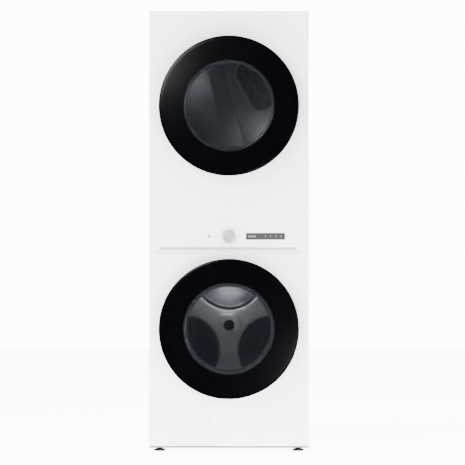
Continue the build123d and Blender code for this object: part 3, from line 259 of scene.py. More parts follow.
# The room's light: even and pale. Mirror-like glass sees a dark room instead, as it does
# in a studio hung with black cloth behind the camera.
world = bpy.data.worlds.new("pale_room")
scene.world = world
world.use_nodes = True
room = world.node_tree
background = room.nodes["Background"]
background.inputs["Color"].default_value = (0.97, 0.985, 1.0, 1)
rays = room.nodes.new("ShaderNodeLightPath")
strength = {"seen": 14.0, "mirrored": 0.01, "fill": 2.1}
reflected = room.nodes.new("ShaderNodeMix")
reflected.inputs["A"].default_value = strength["fill"]
reflected.inputs["B"].default_value = strength["mirrored"]
room.links.new(rays.outputs["Is Glossy Ray"], reflected.inputs["Factor"])
direct = room.nodes.new("ShaderNodeMix")
direct.inputs["B"].default_value = strength["seen"]
room.links.new(rays.outputs["Is Camera Ray"], direct.inputs["Factor"])
room.links.new(reflected.outputs["Result"], direct.inputs["A"])
room.links.new(direct.outputs["Result"], background.inputs["Strength"])

# Outer panels: pressed steel sheet, sprayed with white enamel and baked. The spray leaves
# a very fine orange peel, and the gloss varies a little.
enamel = Finish("white_enamel")
enamel_place = enamel.place()
peel = enamel.noise(enamel_place, 900.0, 2.0)
drift = enamel.noise(enamel_place, 2.2, 2.0)
white_enamel = enamel.surface(
    Base_Color=enamel.mix(drift, (0.80, 0.81, 0.825, 1), (0.825, 0.832, 0.845, 1)),
    Roughness=drift * 0.06 + 0.27,
    Coat_Weight=0.25, Coat_Roughness=0.12,
    Normal=enamel.bump(peel, 0.05, 0.0004),
)
dress(
    white_enamel, "upper_front_panel", "lower_front_panel", "left_side_panel",
    "right_side_panel", "top_cover",
)

# Printed ring and window of each door: one pane of black-printed glass, softly domed, with
# a ground edge. The clear middle is tinted; the print stops in a clean circle round it.
door_axes = {"washer": washer_height, "dryer": dryer_height}
pane_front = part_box("washer_door_glass")[0].y
pane_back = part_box("washer_door_glass")[1].y
door_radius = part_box("washer_door_glass")[1].x
window_radius = 0.198
pane_sag = 0.003


def turned_piece(name, outline, axis_z, axis_x=0.0, steps=128, closed=True):
    """A ring spun about a line along Y from an outline of (y, radius) points."""
    bm = bmesh.new()
    points = [bm.verts.new((axis_x + radius, y, axis_z)) for y, radius in outline]
    pairs = list(zip(points, points[1:]))
    if closed:
        pairs.append((points[-1], points[0]))
    for pair in pairs:
        bm.edges.new(pair)
    bmesh.ops.spin(
        bm, geom=bm.verts[:] + bm.edges[:], cent=(axis_x, 0, axis_z), axis=(0, 1, 0),
        angle=math.tau, steps=steps, use_merge=True, use_duplicate=False,
    )
    bmesh.ops.remove_doubles(bm, verts=bm.verts[:], dist=1e-6)
    bmesh.ops.recalc_face_normals(bm, faces=bm.faces[:])
    return finished(name, bm)


def finished(name, bm, sharp=40):
    """Turns a bmesh into an object, smooth but for its sharp edges."""
    limit = math.radians(sharp)
    for face in bm.faces:
        face.smooth = True
    for edge in bm.edges:
        if edge.is_manifold and edge.calc_face_angle(0) > limit:
            edge.smooth = False
    mesh = bpy.data.meshes.new(name)
    bm.to_mesh(mesh)
    bm.free()
    made = bpy.data.objects.new(name, mesh)
    bpy.context.scene.collection.objects.link(made)
    return made


def dome(radius):
    """Depth of the pane's front face at a radius."""
    return pane_front + pane_sag * (radius / door_radius) ** 2


print_glass = Finish("black_printed_glass")
print_place = print_glass.place()
smears = print_glass.noise(print_place, 6.0, 4.0)
black_print = print_glass.surface(
    Base_Color=print_glass.mix(smears, (0.0003, 0.0003, 0.0006, 1), (0.0006, 0.0006, 0.0010, 1)),
    Roughness=smears * 0.03 + 0.12, Specular_IOR_Level=0.25,
)
tinted = Finish("tinted_window")
tint_haze = tinted.noise(tinted.place(), 5.0, 3.0)
tinted_window = tinted.surface(
    Base_Color=tinted.mix(tint_haze, (0.0012, 0.0014, 0.0024, 1), (0.0018, 0.0021, 0.0034, 1)),
    Roughness=tint_haze * 0.02 + 0.03, Alpha=0.30, Specular_IOR_Level=0.5,
)
for machine, axis_z in door_axes.items():
    ring_radii = [window_radius, 0.215, 0.24, 0.265, 0.285, door_radius - 0.0035]
    ring_outline = [(dome(radius), radius) for radius in ring_radii]
    ring_outline += [
        (pane_front + pane_sag + 0.0005, door_radius - 0.0015),
        (pane_front + pane_sag + 0.002, door_radius),
        (pane_back - 0.001, door_radius), (pane_back, door_radius - 0.001),
        (pane_back, window_radius),
    ]
    ring = turned_piece(f"{machine}_door_printed_ring", ring_outline, axis_z)
    pane_outline = [(dome(radius), radius) for radius in (0.0, 0.06, 0.12, 0.17)]
    pane_outline += [(dome(window_radius), window_radius), (pane_back, window_radius)]
    pane_outline.append((pane_back, 0.0))
    pane = turned_piece(f"{machine}_door_window", pane_outline, axis_z, closed=False)
    dress(black_print, ring.name)
    dress(tinted_window, pane.name)
    for piece in (ring, pane):
        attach(piece, f"{machine}_door")
    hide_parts(f"{machine}_door_glass")

# Door bowls: clear pressed glass. They catch a bright line at each bend.
bowl_glass = Finish("clear_bowl_glass")
waves = bowl_glass.noise(bowl_glass.place(scale=(1, 0.3, 1)), 14.0, 2.0)
dress(
    bowl_glass.surface(
        Base_Color=bowl_glass.mix(waves, (0.0004, 0.0005, 0.0008, 1), (0.0008, 0.0010, 0.0014, 1)),
        Roughness=waves * 0.03 + 0.05, Alpha=0.2, Specular_IOR_Level=1.0,
        Normal=bowl_glass.bump(waves, 0.08, 0.002),
    ),
    "washer_door_bowl", "dryer_door_bowl",
)

# Door frames: moulded dark plastic rings with a fine spark-eroded grain.
shell = Finish("dark_moulded_plastic")
shell_place = shell.place()
grain = shell.noise(shell_place, 1400.0, 2.0)
scuff = shell.noise(shell_place, 18.0, 4.0)
dark_plastic = shell.surface(
    Base_Color=shell.mix(scuff, (0.006, 0.0065, 0.008, 1), (0.010, 0.011, 0.013, 1)),
    Roughness=scuff * 0.12 + 0.42, Normal=shell.bump(grain, 0.12, 0.0003),
)
dress(
    dark_plastic, "washer_door_frame", "dryer_door_frame", "door_catches",
    "control_housing", "blower_housing",
)

# Brushed stainless steel of the drums, the dryer's rear bulkhead and the hinge leaves.
brushed = Finish("brushed_stainless")
brushed_place = brushed.place(scale=(1, 0.04, 1))
lay = brushed.noise(brushed_place, 420.0, 3.0)
cloud = brushed.noise(brushed.place(), 7.0, 3.0)
stainless = brushed.surface(
    Base_Color=brushed.mix(cloud, (0.42, 0.44, 0.48, 1), (0.52, 0.54, 0.57, 1)),
    Metallic=0.72, Roughness=lay * 0.12 + 0.30, Normal=brushed.bump(lay, 0.06, 0.0004),
)
dress(
    stainless, "washer_drum_back", "washer_drum_lifters", "dryer_drum",
    "dryer_drum_lifters", "dryer_rear_bulkhead", "washer_door_hinge", "dryer_door_hinge",
)

# Zinc-coated steel of the inner sheets: a frosty spangle of flat crystals.
zinc = Finish("galvanised_steel")
zinc_place = zinc.place()
crystals = zinc.node(
    "ShaderNodeTexVoronoi", {"feature": "F1"}, {"Vector": zinc_place, "Scale": 70.0}, output=1
)
spangle = zinc.axis(crystals, "X")
galvanised = zinc.surface(
    Base_Color=zinc.mix(spangle, (0.13, 0.138, 0.15, 1), (0.22, 0.228, 0.24, 1)),
    Metallic=0.6, Roughness=spangle * 0.18 + 0.38,
)
dress(
    galvanised, "base_pan", "rear_panel", "middle_frame", "dryer_front_bulkhead",
    "heater_housing", "exhaust_duct", "hinge_brackets",
    "dryer_air_grille",
)

# White mouldings: the handle channel between the machines, the drawer's front and the
# service hatch. ABS, moulded in white, with a faint spark-eroded grain.
def moulded(name, dark, light, roughness, grain_scale=1300.0, grain_depth=0.1, **extra):
    """A moulded or cast surface: two near tones in soft clouds over a fine grain."""
    finish = Finish(name)
    spot = finish.place()
    clouds = finish.noise(spot, 9.0, 4.0)
    pits = finish.noise(spot, grain_scale, 2.0)
    return finish.surface(
        Base_Color=finish.mix(clouds, (*dark, 1), (*light, 1)),
        Roughness=clouds * 0.1 + (roughness - 0.05),
        Normal=finish.bump(pits, grain_depth, 0.0003), **extra,
    )


white_plastic = moulded("white_abs", (0.77, 0.78, 0.80), (0.81, 0.82, 0.835), 0.36)
dress(white_plastic, "handle_channel", "drawer_front", "service_hatch")
grey_plastic = moulded("grey_polypropylene", (0.30, 0.31, 0.325), (0.37, 0.38, 0.395), 0.5)
dress(grey_plastic, "drawer_tray", "drawer_housing", "tub_front", "tub_rear", "inlet_valves")

# Rubber: the door gasket is soft grey EPDM, the tyres, belt and feet are harder and darker.
# Talc from the mould leaves them mottled and quite matt.
gasket_rubber = moulded(
    "grey_epdm", (0.030, 0.031, 0.034), (0.048, 0.050, 0.054), 0.62, 700.0, 0.16,
    Sheen_Weight=0.15,
)
dress(gasket_rubber, "washer_gasket")
black_rubber = moulded(
    "black_rubber", (0.005, 0.005, 0.0055), (0.010, 0.010, 0.011), 0.7, 600.0, 0.2
)
dress(black_rubber, "levelling_feet", "roller_left", "roller_right", "dryer_belt")

# Dark mouldings inside: damper bodies, fan wheel and drain pump, in glass-filled nylon.
# The glass fibres roughen the skin.
filled_nylon = moulded("filled_nylon", (0.006, 0.0062, 0.007), (0.012, 0.0123, 0.0135), 0.55, 500.0)
dress(filled_nylon, "damper_cylinders", "blower_wheel", "drain_pump")

# Blue marks what the owner cleans: the drain filter's cap. The lint filter's
# frame is grey, with a fine nylon mesh.
filter_blue = moulded("service_blue", (0.035, 0.11, 0.30), (0.05, 0.15, 0.38), 0.42)
dress(filter_blue, "drain_filter")
mesh_frame = Finish("lint_mesh_frame")
mesh_place = mesh_frame.place()
threads = [
    mesh_frame.axis(mesh_place, letter).math("MULTIPLY", 2600.0).math("SINE")
    for letter in "XZ"
]
weave = threads[0].math("MAXIMUM", threads[1]).step(0.2, 0.9)
dress(
    mesh_frame.surface(
        Base_Color=mesh_frame.mix(weave, (0.10, 0.105, 0.11, 1), (0.27, 0.28, 0.29, 1)),
        Roughness=weave * 0.1 + 0.5, Normal=mesh_frame.bump(weave, 0.3, 0.0004),
    ),
    "lint_filter",
)

# Counterweights: cast concrete blocks bolted round the tub's mouth, grey with open pores.
concrete = Finish("cast_concrete")
concrete_place = concrete.place()
sand = concrete.noise(concrete_place, 160.0, 6.0, 0.7)
pores = concrete.node(
    "ShaderNodeTexVoronoi", {"feature": "F1"}, {"Vector": concrete_place, "Scale": 190.0}
).step(0.08, 0.22)
dress(
    concrete.surface(
        Base_Color=concrete.mix(sand, (0.22, 0.215, 0.205, 1), (0.42, 0.41, 0.39, 1)),
        Roughness=sand * 0.1 + 0.82, Normal=concrete.bump(pores * sand, 0.5, 0.002),
    ),
    "counterweights",
)

# Turned and ground steel: shafts, bearings, damper rods and the motors' iron. The tool
# leaves fine rings along the shaft.
ground = Finish("ground_steel")
ground_place = ground.place()
rings = ground.noise(ground.place(scale=(0.05, 1, 0.05)), 900.0, 2.0)
oil = ground.noise(ground_place, 12.0, 3.0)
machined_steel = ground.surface(
    Base_Color=ground.mix(oil, (0.36, 0.36, 0.37, 1), (0.50, 0.50, 0.51, 1)),
    Metallic=1.0, Roughness=rings * 0.14 + 0.24, Normal=ground.bump(rings, 0.08, 0.0003),
)
dress(
    machined_steel, "drum_bearings", "drum_shaft", "motor_shaft", "damper_rods",
    "motor_stator", "motor_rotor", "dryer_motor", "suspension_springs",
)

# Washer drum back: a stainless disc stamped with three round recesses, which leaves three
# raised arms. The press coins the recesses smooth and more mirror-like, and the arms stay satin.
# The recesses are painted dark as painted shade, and the arms pale as a painted highlight.
# It is folded to the drum's edge, and a cap covers the shaft's nut.
back_low, back_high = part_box("washer_drum_back")
back_radius = back_high.x - 0.0008
back_thickness = 0.0015
recess_depth = 0.008
recess_radius = 0.157
recess_reach = 0.222
recess_angles = [math.radians(angle) for angle in (90, 210, 330)]
boss_radius = 0.046
stamp_face = back_low.y + 0.010


def soft_step(value, start, end):
    """0 before start and 1 after end, with a smooth rise between."""
    t = min(max((value - start) / (end - start), 0.0), 1.0)
    return t * t * (3 - 2 * t)


def stamped_depth(point):
    """How deep the stamping lies at a point: recesses, a boss and a bead at the edge."""
    across, up = point.x, point.z - washer_height
    radius = math.hypot(across, up)
    depth = 0.0
    for angle in recess_angles:
        centre = Vector((recess_reach * math.cos(angle), recess_reach * math.sin(angle)))
        inside = recess_radius - (Vector((across, up)) - centre).length
        depth = max(depth, recess_depth * soft_step(inside, -0.004, 0.020))
    depth -= 0.003 * (1 - soft_step(radius, boss_radius, boss_radius + 0.012))
    return depth - 0.002 * soft_step(radius, back_radius - 0.020, back_radius - 0.008)


bm = bmesh.new()
spoke_steps = 110
spoke = [
    bm.verts.new((back_radius * step / spoke_steps, stamp_face, washer_height))
    for step in range(spoke_steps + 1)
]
for pair in zip(spoke, spoke[1:]):
    bm.edges.new(pair)
bmesh.ops.spin(
    bm, geom=bm.verts[:] + bm.edges[:], cent=(0, 0, washer_height), axis=(0, 1, 0),
    angle=math.tau, steps=240, use_merge=True, use_duplicate=False,
)
bmesh.ops.remove_doubles(bm, verts=bm.verts[:], dist=1e-6)
for vert in bm.verts:
    vert.co.y += stamped_depth(vert.co)
bmesh.ops.recalc_face_normals(bm, faces=bm.faces[:])
bmesh.ops.solidify(bm, geom=bm.faces[:], thickness=back_thickness)
bmesh.ops.recalc_face_normals(bm, faces=bm.faces[:])
stamped_back = finished("washer_drum_stamped_back", bm, 60)
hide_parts("washer_drum_back")
cap_front = back_low.y
cap_radius = 0.024
collar_radius = 0.034
hub_collar = turned_piece("washer_hub_collar", [
    (stamp_face - 0.0035, cap_radius - 0.001), (stamp_face - 0.0055, cap_radius + 0.001),
    (stamp_face - 0.0055, collar_radius - 0.0015), (stamp_face - 0.0035, collar_radius),
    (stamp_face - 0.001, collar_radius), (stamp_face - 0.001, cap_radius - 0.001),
], washer_height)
cap_points = [
    (cap_front + 0.0022 * (radius / cap_radius) ** 2, radius)
    for radius in (0.0, 0.006, 0.012, 0.018, 0.022)
]
hub_cap = turned_piece("washer_hub_cap", cap_points + [
    (cap_front + 0.004, cap_radius), (stamp_face - 0.003, cap_radius),
    (stamp_face - 0.003, 0.0),
], washer_height, closed=False)
coined = Finish("stamped_stainless_painted_shade")
coined_place = coined.place(centre=(0, 0, washer_height))
back_x = coined.axis(coined_place, "X")
back_z = coined.axis(coined_place, "Z")
nearest = None
for angle in recess_angles:
    gap_x = back_x - recess_reach * math.cos(angle)
    gap_z = back_z - recess_reach * math.sin(angle)
    gap = (gap_x * gap_x + gap_z * gap_z).math("SQRT")
    nearest = gap if nearest is None else nearest.math("MINIMUM", gap)
# Painted light: the arms' pale tone is a painted highlight, and the recesses' dark tone is painted
# shade for the dark room they mirror. The mask also makes the arms rougher and less metallic.
lit_satin_arms = nearest.step(recess_radius - 0.014, recess_radius + 0.006)
press_cloud = coined.noise(coined_place, 11.0, 3.0)
shaded_recess_tone = coined.mix(press_cloud, (0.16, 0.17, 0.19, 1), (0.22, 0.23, 0.25, 1))
stamped_steel = coined.surface(
    Base_Color=coined.mix(lit_satin_arms, shaded_recess_tone, (0.72, 0.735, 0.76, 1)),
    Metallic=0.95 - lit_satin_arms * 0.40, Roughness=lit_satin_arms * 0.02 + press_cloud * 0.05 + 0.30,
)
dress(stamped_steel, stamped_back.name, hub_collar.name)
dress(filled_nylon, hub_cap.name)
for piece in (stamped_back, hub_collar, hub_cap):
    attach(piece, "washer_drum_group")

# Washer drum wall: the same steel, pierced all round with small holes whose edges are
# pressed outwards. Each hole is painted as a near-black, non-metal dot, painted shade for the dark
# behind it, in a shallow bumped dimple.
pierced = Finish("pierced_stainless")
pierced_place = pierced.place(centre=(0, 0, washer_height))
turn = pierced.axis(pierced_place, "X").math("ARCTAN2", pierced.axis(pierced_place, "Z"))
holes_round = 88
hole_pitch = 0.0195
column = turn * (holes_round / math.tau)
row = pierced.axis(pierced_place, "Y") / hole_pitch
offset_row = row.math("FLOOR").math("MODULO", 2.0) * 0.5
cell_x = (column + offset_row).math("FRACT") - 0.5
cell_y = row.math("FRACT") - 0.5
from_hole = (cell_x * cell_x + cell_y * cell_y).math("SQRT")
# The holes are painted shade: a near-black dot stands for the dark seen through each hole.
hole_shade = 1.0 - from_hole.step(0.09, 0.13)
dimple = from_hole.step(0.09, 0.30)
steel_cloud = pierced.noise(pierced_place, 8.0, 3.0)
steel_tone = pierced.mix(steel_cloud, (0.42, 0.44, 0.48, 1), (0.52, 0.54, 0.57, 1))
dress(
    pierced.surface(
        Base_Color=pierced.mix(hole_shade, steel_tone, (0.004, 0.004, 0.005, 1)),
        Metallic=0.72 - hole_shade * 0.72, Roughness=steel_cloud * 0.1 + 0.26,
        Normal=pierced.bump(dimple, 0.5, 0.0015),
    ),
    "washer_drum",
)

# Door gasket: a folded rubber bellows between the front panel and the tub. Its lip lies
# round the closed bowl, and folds lie behind it; in the real machine they let the tub move.
fold_low, fold_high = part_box("washer_gasket")
fold_outer = fold_high.x - 0.0005
fold_inner = 0.183
fold_wall = 0.003
fold_points = [
    (fold_low.y + 0.001, fold_outer - 0.003), (fold_low.y + 0.004, fold_outer - 0.014),
    (fold_low.y + 0.010, fold_inner + 0.006), (fold_low.y + 0.014, fold_inner),
    (fold_low.y + 0.019, fold_inner + 0.005), (fold_low.y + 0.024, fold_inner + 0.014),
    (fold_low.y + 0.029, fold_inner + 0.003), (fold_low.y + 0.034, fold_inner + 0.001),
    (fold_low.y + 0.039, fold_inner + 0.010), (fold_low.y + 0.045, fold_inner + 0.007),
    (fold_high.y - 0.001, fold_inner + 0.010),
]
outer_points = [(y, radius + fold_wall) for y, radius in reversed(fold_points)]
bellows = turned_piece("washer_gasket_bellows", fold_points + outer_points, washer_height)
dress(gasket_rubber, bellows.name)
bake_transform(bellows)
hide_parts("washer_gasket")

# Suspension springs: wound steel wire. Four of them hang the tub in the cabinet.
spring_low, spring_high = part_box("suspension_springs")
spring_sleeve = 0.013
wire_radius = 0.0020
coil_radius = spring_sleeve - wire_radius - 0.0005
spring_turns = 17
steps_per_turn = 20
spring_end = 0.004
spring_rows = (spring_low.y + spring_sleeve, spring_high.y - spring_sleeve)
bm = bmesh.new()
for spring_x in (spring_low.x + spring_sleeve, spring_high.x - spring_sleeve):
    for spring_y in spring_rows:
        wire = bmesh.ops.create_circle(bm, segments=8, radius=wire_radius)["verts"]
        bmesh.ops.rotate(bm, verts=wire, matrix=Matrix.Rotation(math.radians(90), 3, "X"))
        start = (spring_x + coil_radius, spring_y, spring_low.z + spring_end)
        bmesh.ops.translate(bm, verts=wire, vec=start)
        loop_edges = list({edge for vert in wire for edge in vert.link_edges})
        steps = spring_turns * steps_per_turn
        rise = (spring_high.z - spring_low.z - 2 * spring_end) / steps
        bmesh.ops.spin(
            bm, geom=wire + loop_edges, cent=(spring_x, spring_y, 0), axis=(0, 0, 1),
            dvec=(0, 0, rise), angle=math.tau * spring_turns, steps=steps,
            use_merge=False, use_duplicate=False,
        )
open_ends = [edge for edge in bm.edges if edge.is_boundary]
bmesh.ops.holes_fill(bm, edges=open_ends, sides=8)
bmesh.ops.recalc_face_normals(bm, faces=bm.faces[:])
springs = finished("suspension_spring_coils", bm, 60)
dress(machined_steel, springs.name)
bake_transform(springs)
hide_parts("suspension_springs")

# Window trims: a satin metal ring between each door's pane and its bowl, stepped like a
# watch bezel, which finishes the edge of the print.
bezel = Finish("dark_bezel")
bezel_cloud = bezel.noise(bezel.place(), 30.0, 3.0)
dark_bezel = bezel.surface(
    Base_Color=bezel.mix(bezel_cloud, (0.035, 0.037, 0.043, 1), (0.055, 0.058, 0.066, 1)),
    Metallic=0.5, Roughness=bezel_cloud * 0.08 + 0.22,
)
for machine, axis_z in door_axes.items():
    trim_outer = window_radius - 0.0015
    trim_inner = 0.181
    trim_front = pane_back + 0.0010
    trim = turned_piece(f"{machine}_window_trim", [
        (trim_front + 0.0030, trim_inner), (trim_front + 0.0012, trim_inner + 0.0012),
        (trim_front + 0.0012, trim_inner + 0.0050), (trim_front, trim_inner + 0.0065),
        (trim_front, trim_outer - 0.0020), (trim_front + 0.0012, trim_outer),
        (trim_front + 0.0040, trim_outer), (trim_front + 0.0040, trim_inner),
    ], axis_z)
    dress(dark_bezel, trim.name)
    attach(trim, f"{machine}_door")

# Air grille: a stainless plate pierced with hexagonal holes, in a raised rim that covers
# the opening in the dryer's back.
grille_low, grille_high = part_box("dryer_air_grille")
grille_middle = (grille_low + grille_high) / 2
grille_length = 0.248
grille_width = 0.140
grille_corner = 0.062
grille_tilt = math.radians(-61)
hex_pitch = 0.0088
hex_web = 0.78
plate_y = grille_low.y + 0.0022
plate_thickness = 0.0008
rim_margin = 0.008
rows_each_way = 11
holes_each_way = 17


def inside_rounded(along, across, margin):
    """True for a point inside the grille's rounded outline, less a margin."""
    beyond_x = max(abs(along) - (grille_length / 2 - grille_corner), 0)
    beyond_y = max(abs(across) - (grille_width / 2 - grille_corner), 0)
    return math.hypot(beyond_x, beyond_y) < grille_corner - margin


def set_in_grille(bm):
    """Turns a flat piece made at the origin to the grille's tilt and puts it in place."""
    stand = Matrix.Rotation(math.radians(90), 3, "X")
    lean = Matrix.Rotation(-grille_tilt, 3, "Y")
    bmesh.ops.rotate(bm, verts=bm.verts[:], matrix=lean @ stand)
    bmesh.ops.translate(bm, verts=bm.verts[:], vec=(grille_middle.x, 0, grille_middle.z))


bm = bmesh.new()
hex_radius = hex_pitch / math.sqrt(3)
row_step = hex_pitch * math.sqrt(3) / 2
for row_number in range(-rows_each_way, rows_each_way + 1):
    shift = hex_pitch / 2 * (row_number % 2)
    for hole_number in range(-holes_each_way, holes_each_way + 1):
        along, across = hole_number * hex_pitch + shift, row_number * row_step
        if not inside_rounded(along, across, rim_margin):
            continue
        cell = bmesh.ops.create_circle(bm, cap_ends=True, segments=6, radius=hex_radius)
        bmesh.ops.translate(bm, verts=cell["verts"], vec=(along, across, 0))
cells = bm.faces[:]
bmesh.ops.inset_individual(bm, faces=cells, thickness=hex_radius * (1 - hex_web) / 1.2)
bmesh.ops.delete(bm, geom=cells, context="FACES_ONLY")
bmesh.ops.remove_doubles(bm, verts=bm.verts[:], dist=hex_radius * 0.06)
bmesh.ops.solidify(bm, geom=bm.faces[:], thickness=plate_thickness)
set_in_grille(bm)
bmesh.ops.translate(bm, verts=bm.verts[:], vec=(0, plate_y, 0))
bmesh.ops.recalc_face_normals(bm, faces=bm.faces[:])
hex_plate = finished("dryer_grille_plate", bm)


def grille_loop(bm, margin, height):
    """A rounded outline inside the grille's, as a closed ring of vertices."""
    corner = grille_corner - margin
    verts = []
    for quarter in range(4):
        turned = math.radians(90 * quarter)
        sign_x = 1 if quarter in (0, 3) else -1
        sign_y = 1 if quarter in (0, 1) else -1
        centre_x = sign_x * (grille_length / 2 - grille_corner)
        centre_y = sign_y * (grille_width / 2 - grille_corner)
        for step in range(13):
            angle = turned + math.radians(90) * step / 12
            verts.append(bm.verts.new((
                centre_x + corner * math.cos(angle), centre_y + corner * math.sin(angle),
                height,
            )))
    return [bm.edges.new((a, b)) for a, b in zip(verts, verts[1:] + verts[:1])]


rim_profile = [
    (0.0005, -0.0028), (0.0005, 0.0008), (0.0020, 0.0020), (0.0040, 0.0020),
    (0.0055, 0.0010), (0.0068, 0.0010), (0.0078, 0.0018), (0.0090, 0.0012),
    (0.0100, -0.0004), (0.0100, -0.0028),
]
bm = bmesh.new()
loops = [grille_loop(bm, margin, height) for margin, height in rim_profile]
for first, second in zip(loops, loops[1:] + loops[:1]):
    bmesh.ops.bridge_loops(bm, edges=first + second)
set_in_grille(bm)
bmesh.ops.translate(bm, verts=bm.verts[:], vec=(0, plate_y, 0))
bmesh.ops.recalc_face_normals(bm, faces=bm.faces[:])
grille_frame = finished("dryer_grille_rim", bm, 35)
# The grille's plate and rim, and the fold's bead below, share one pale, nearly non-metal steel
# colour. It is a painted highlight for the bright lines their edges catch.
bright = Finish("painted_highlight_steel")
bright_cloud = bright.noise(bright.place(), 40.0, 2.0)
painted_highlight_edge = bright.surface(
    Base_Color=bright.mix(bright_cloud, (0.66, 0.68, 0.71, 1), (0.80, 0.82, 0.85, 1)),
    Metallic=0.25, Roughness=bright_cloud * 0.08 + 0.2,
)
dress(painted_highlight_edge, hex_plate.name, grille_frame.name)
for piece in (hex_plate, grille_frame):
    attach(piece, "cabinet")
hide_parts("dryer_air_grille")

# Pressed edge: where the long ramp in the dryer's back ends, the sheet is folded over a
# sharp tool. A thin pale rod along the fold is a painted highlight for the bright line the fold
# catches.
ramp_lean = math.radians(14.5)
fold_offset = 0.0307
fold_depth = 0.0095
bead_radius = 0.0023
bead_length = 0.38
fold_y = grille_low.y + fold_depth
bm = bmesh.new()
bmesh.ops.create_cone(
    bm, cap_ends=True, segments=16, radius1=bead_radius, radius2=bead_radius,
    depth=bead_length,
)
bmesh.ops.rotate(bm, verts=bm.verts[:], matrix=Matrix.Rotation(-ramp_lean, 3, "Y"))
bmesh.ops.translate(bm, verts=bm.verts[:], vec=(fold_offset, fold_y, dryer_height))
fold_highlight_rod = finished("dryer_fold_highlight_rod", bm)
dress(painted_highlight_edge, fold_highlight_rod.name)
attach(fold_highlight_rod, "cabinet")

# Programme knob and power button: spun aluminium. The lathe leaves fine rings on the face,
# which draw the light into two fans, and a short line marks where the knob points.
knob_low, knob_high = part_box("knob")
knob_z = (knob_low.z + knob_high.z) / 2
knob_x = (knob_low.x + knob_high.x) / 2
spun = Finish("spun_aluminium")
spun_place = spun.place(centre=(knob_x, 0, knob_z))
face_x = spun.axis(spun_place, "X")
face_z = spun.axis(spun_place, "Z")
from_axis = (face_x * face_x + face_z * face_z).math("SQRT")
lathe_rings = (from_axis * 9000.0).math("SINE") * 0.5 + 0.5
polish = spun.noise(spun_place, 60.0, 3.0)
spun_aluminium = spun.surface(
    Base_Color=spun.mix(polish, (0.60, 0.605, 0.615, 1), (0.70, 0.705, 0.715, 1)),
    Metallic=0.75, Roughness=polish * 0.08 + 0.24,
    Normal=spun.bump(lathe_rings, 0.35, 0.00025),
)
dress(spun_aluminium, "knob", "power_button")
print_grey = moulded("printed_grey", (0.035, 0.036, 0.038), (0.05, 0.051, 0.053), 0.5)


print_depth = 0.00012


def printed(name, marks, face_y, material, body):
    """Flat printed marks on a front face, from (x, z, width, height) of each."""
    bm = bmesh.new()
    for x, z, mark_width, mark_height in marks:
        mark = bmesh.ops.create_grid(bm, x_segments=1, y_segments=1, size=0.5)["verts"]
        bmesh.ops.scale(bm, verts=mark, vec=(mark_width, mark_height, 1))
        bmesh.ops.rotate(bm, verts=mark, matrix=Matrix.Rotation(math.radians(90), 3, "X"))
        bmesh.ops.translate(bm, verts=mark, vec=(x, face_y - print_depth, z))
    made = finished(name, bm)
    dress(material, name)
    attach(made, body)


printed(
    "knob_pointer", [(knob_x, knob_high.z - 0.0085, 0.0016, 0.0085)], knob_low.y,
    print_grey, "knob",
)

# Printed legend on the upper panel: a short bar either side of the knob stands where the
# programme names would be, with a ring round the power button, a triangle for start and
# three dots below the display.
line_z = knob_z
start_x = 0.2515
dot_size = 0.0022
dots_drop = 0.028
legend = [(-0.0515, line_z, 0.025, 0.0016), (0.0495, line_z, 0.021, 0.0016)]
dots = [(x, line_z - dots_drop, dot_size, dot_size) for x in (0.146, 0.171, 0.197)]
printed(
    "control_legend", legend + dots, front_panel_y, print_grey, "cabinet",
)
power_x = sum(corner.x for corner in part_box("power_button")) / 2
power_ring = turned_piece("power_printed_ring", [
    (front_panel_y - 0.00015, 0.0068), (front_panel_y - 0.00015, 0.0076),
    (front_panel_y - 0.00002, 0.0076), (front_panel_y - 0.00002, 0.0068),
], line_z, power_x, 64)
bm = bmesh.new()
triangle = bmesh.ops.create_circle(bm, cap_ends=True, segments=3, radius=0.0048)["verts"]
bmesh.ops.rotate(bm, verts=triangle, matrix=Matrix.Rotation(math.radians(-90), 3, "Z"))
bmesh.ops.rotate(bm, verts=triangle, matrix=Matrix.Rotation(math.radians(90), 3, "X"))
bmesh.ops.translate(bm, verts=triangle, vec=(start_x, front_panel_y - print_depth, line_z))
start_mark = finished("start_printed_mark", bm)
for piece in (power_ring, start_mark):
    dress(print_grey, piece.name)
    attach(piece, "cabinet")

# Display: a smoked plastic window. Pale bars stand for its figures and symbols.
smoked = Finish("smoked_window")
smoke = smoked.noise(smoked.place(), 20.0, 3.0)
dress(
    smoked.surface(
        Base_Color=smoked.mix(smoke, (0.026, 0.0263, 0.0256, 1), (0.032, 0.0323, 0.0315, 1)),
        Roughness=smoke * 0.05 + 0.16,
    ),
    "display_window",
)
lit = Finish("lit_segments")
glow = lit.noise(lit.place(), 90.0, 2.0)
lit_segments = lit.surface(
    Base_Color=lit.mix(glow, (0.28, 0.285, 0.28, 1), (0.36, 0.365, 0.36, 1)),
    Roughness=glow * 0.1 + 0.4,
)
display_low, display_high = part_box("display_window")
display_z = (display_low.z + display_high.z) / 2
figure_x = (display_low.x + display_high.x) / 2
segments = []
for digit in (-1.5, -0.5, 0.5, 1.5):
    digit_x = figure_x - 0.058 + digit * 0.0075 + math.copysign(0.001, digit)
    segments += [(digit_x, display_z + step * 0.0036, 0.0034, 0.0008) for step in (-1, 0, 1)]
    for side in (-1, 1):
        segments += [
            (digit_x + side * 0.0021, display_z + half * 0.0018, 0.0008, 0.0027)
            for half in (-1, 1)
        ]
for symbol_x in (0.0, 0.022, 0.045, 0.067):
    segments += [
        (figure_x + symbol_x, display_z + 0.003, 0.0050, 0.0010),
        (figure_x + symbol_x, display_z - 0.003, 0.0034, 0.0010),
    ]
printed(
    "display_segments", segments, display_low.y, lit_segments, "cabinet",
)

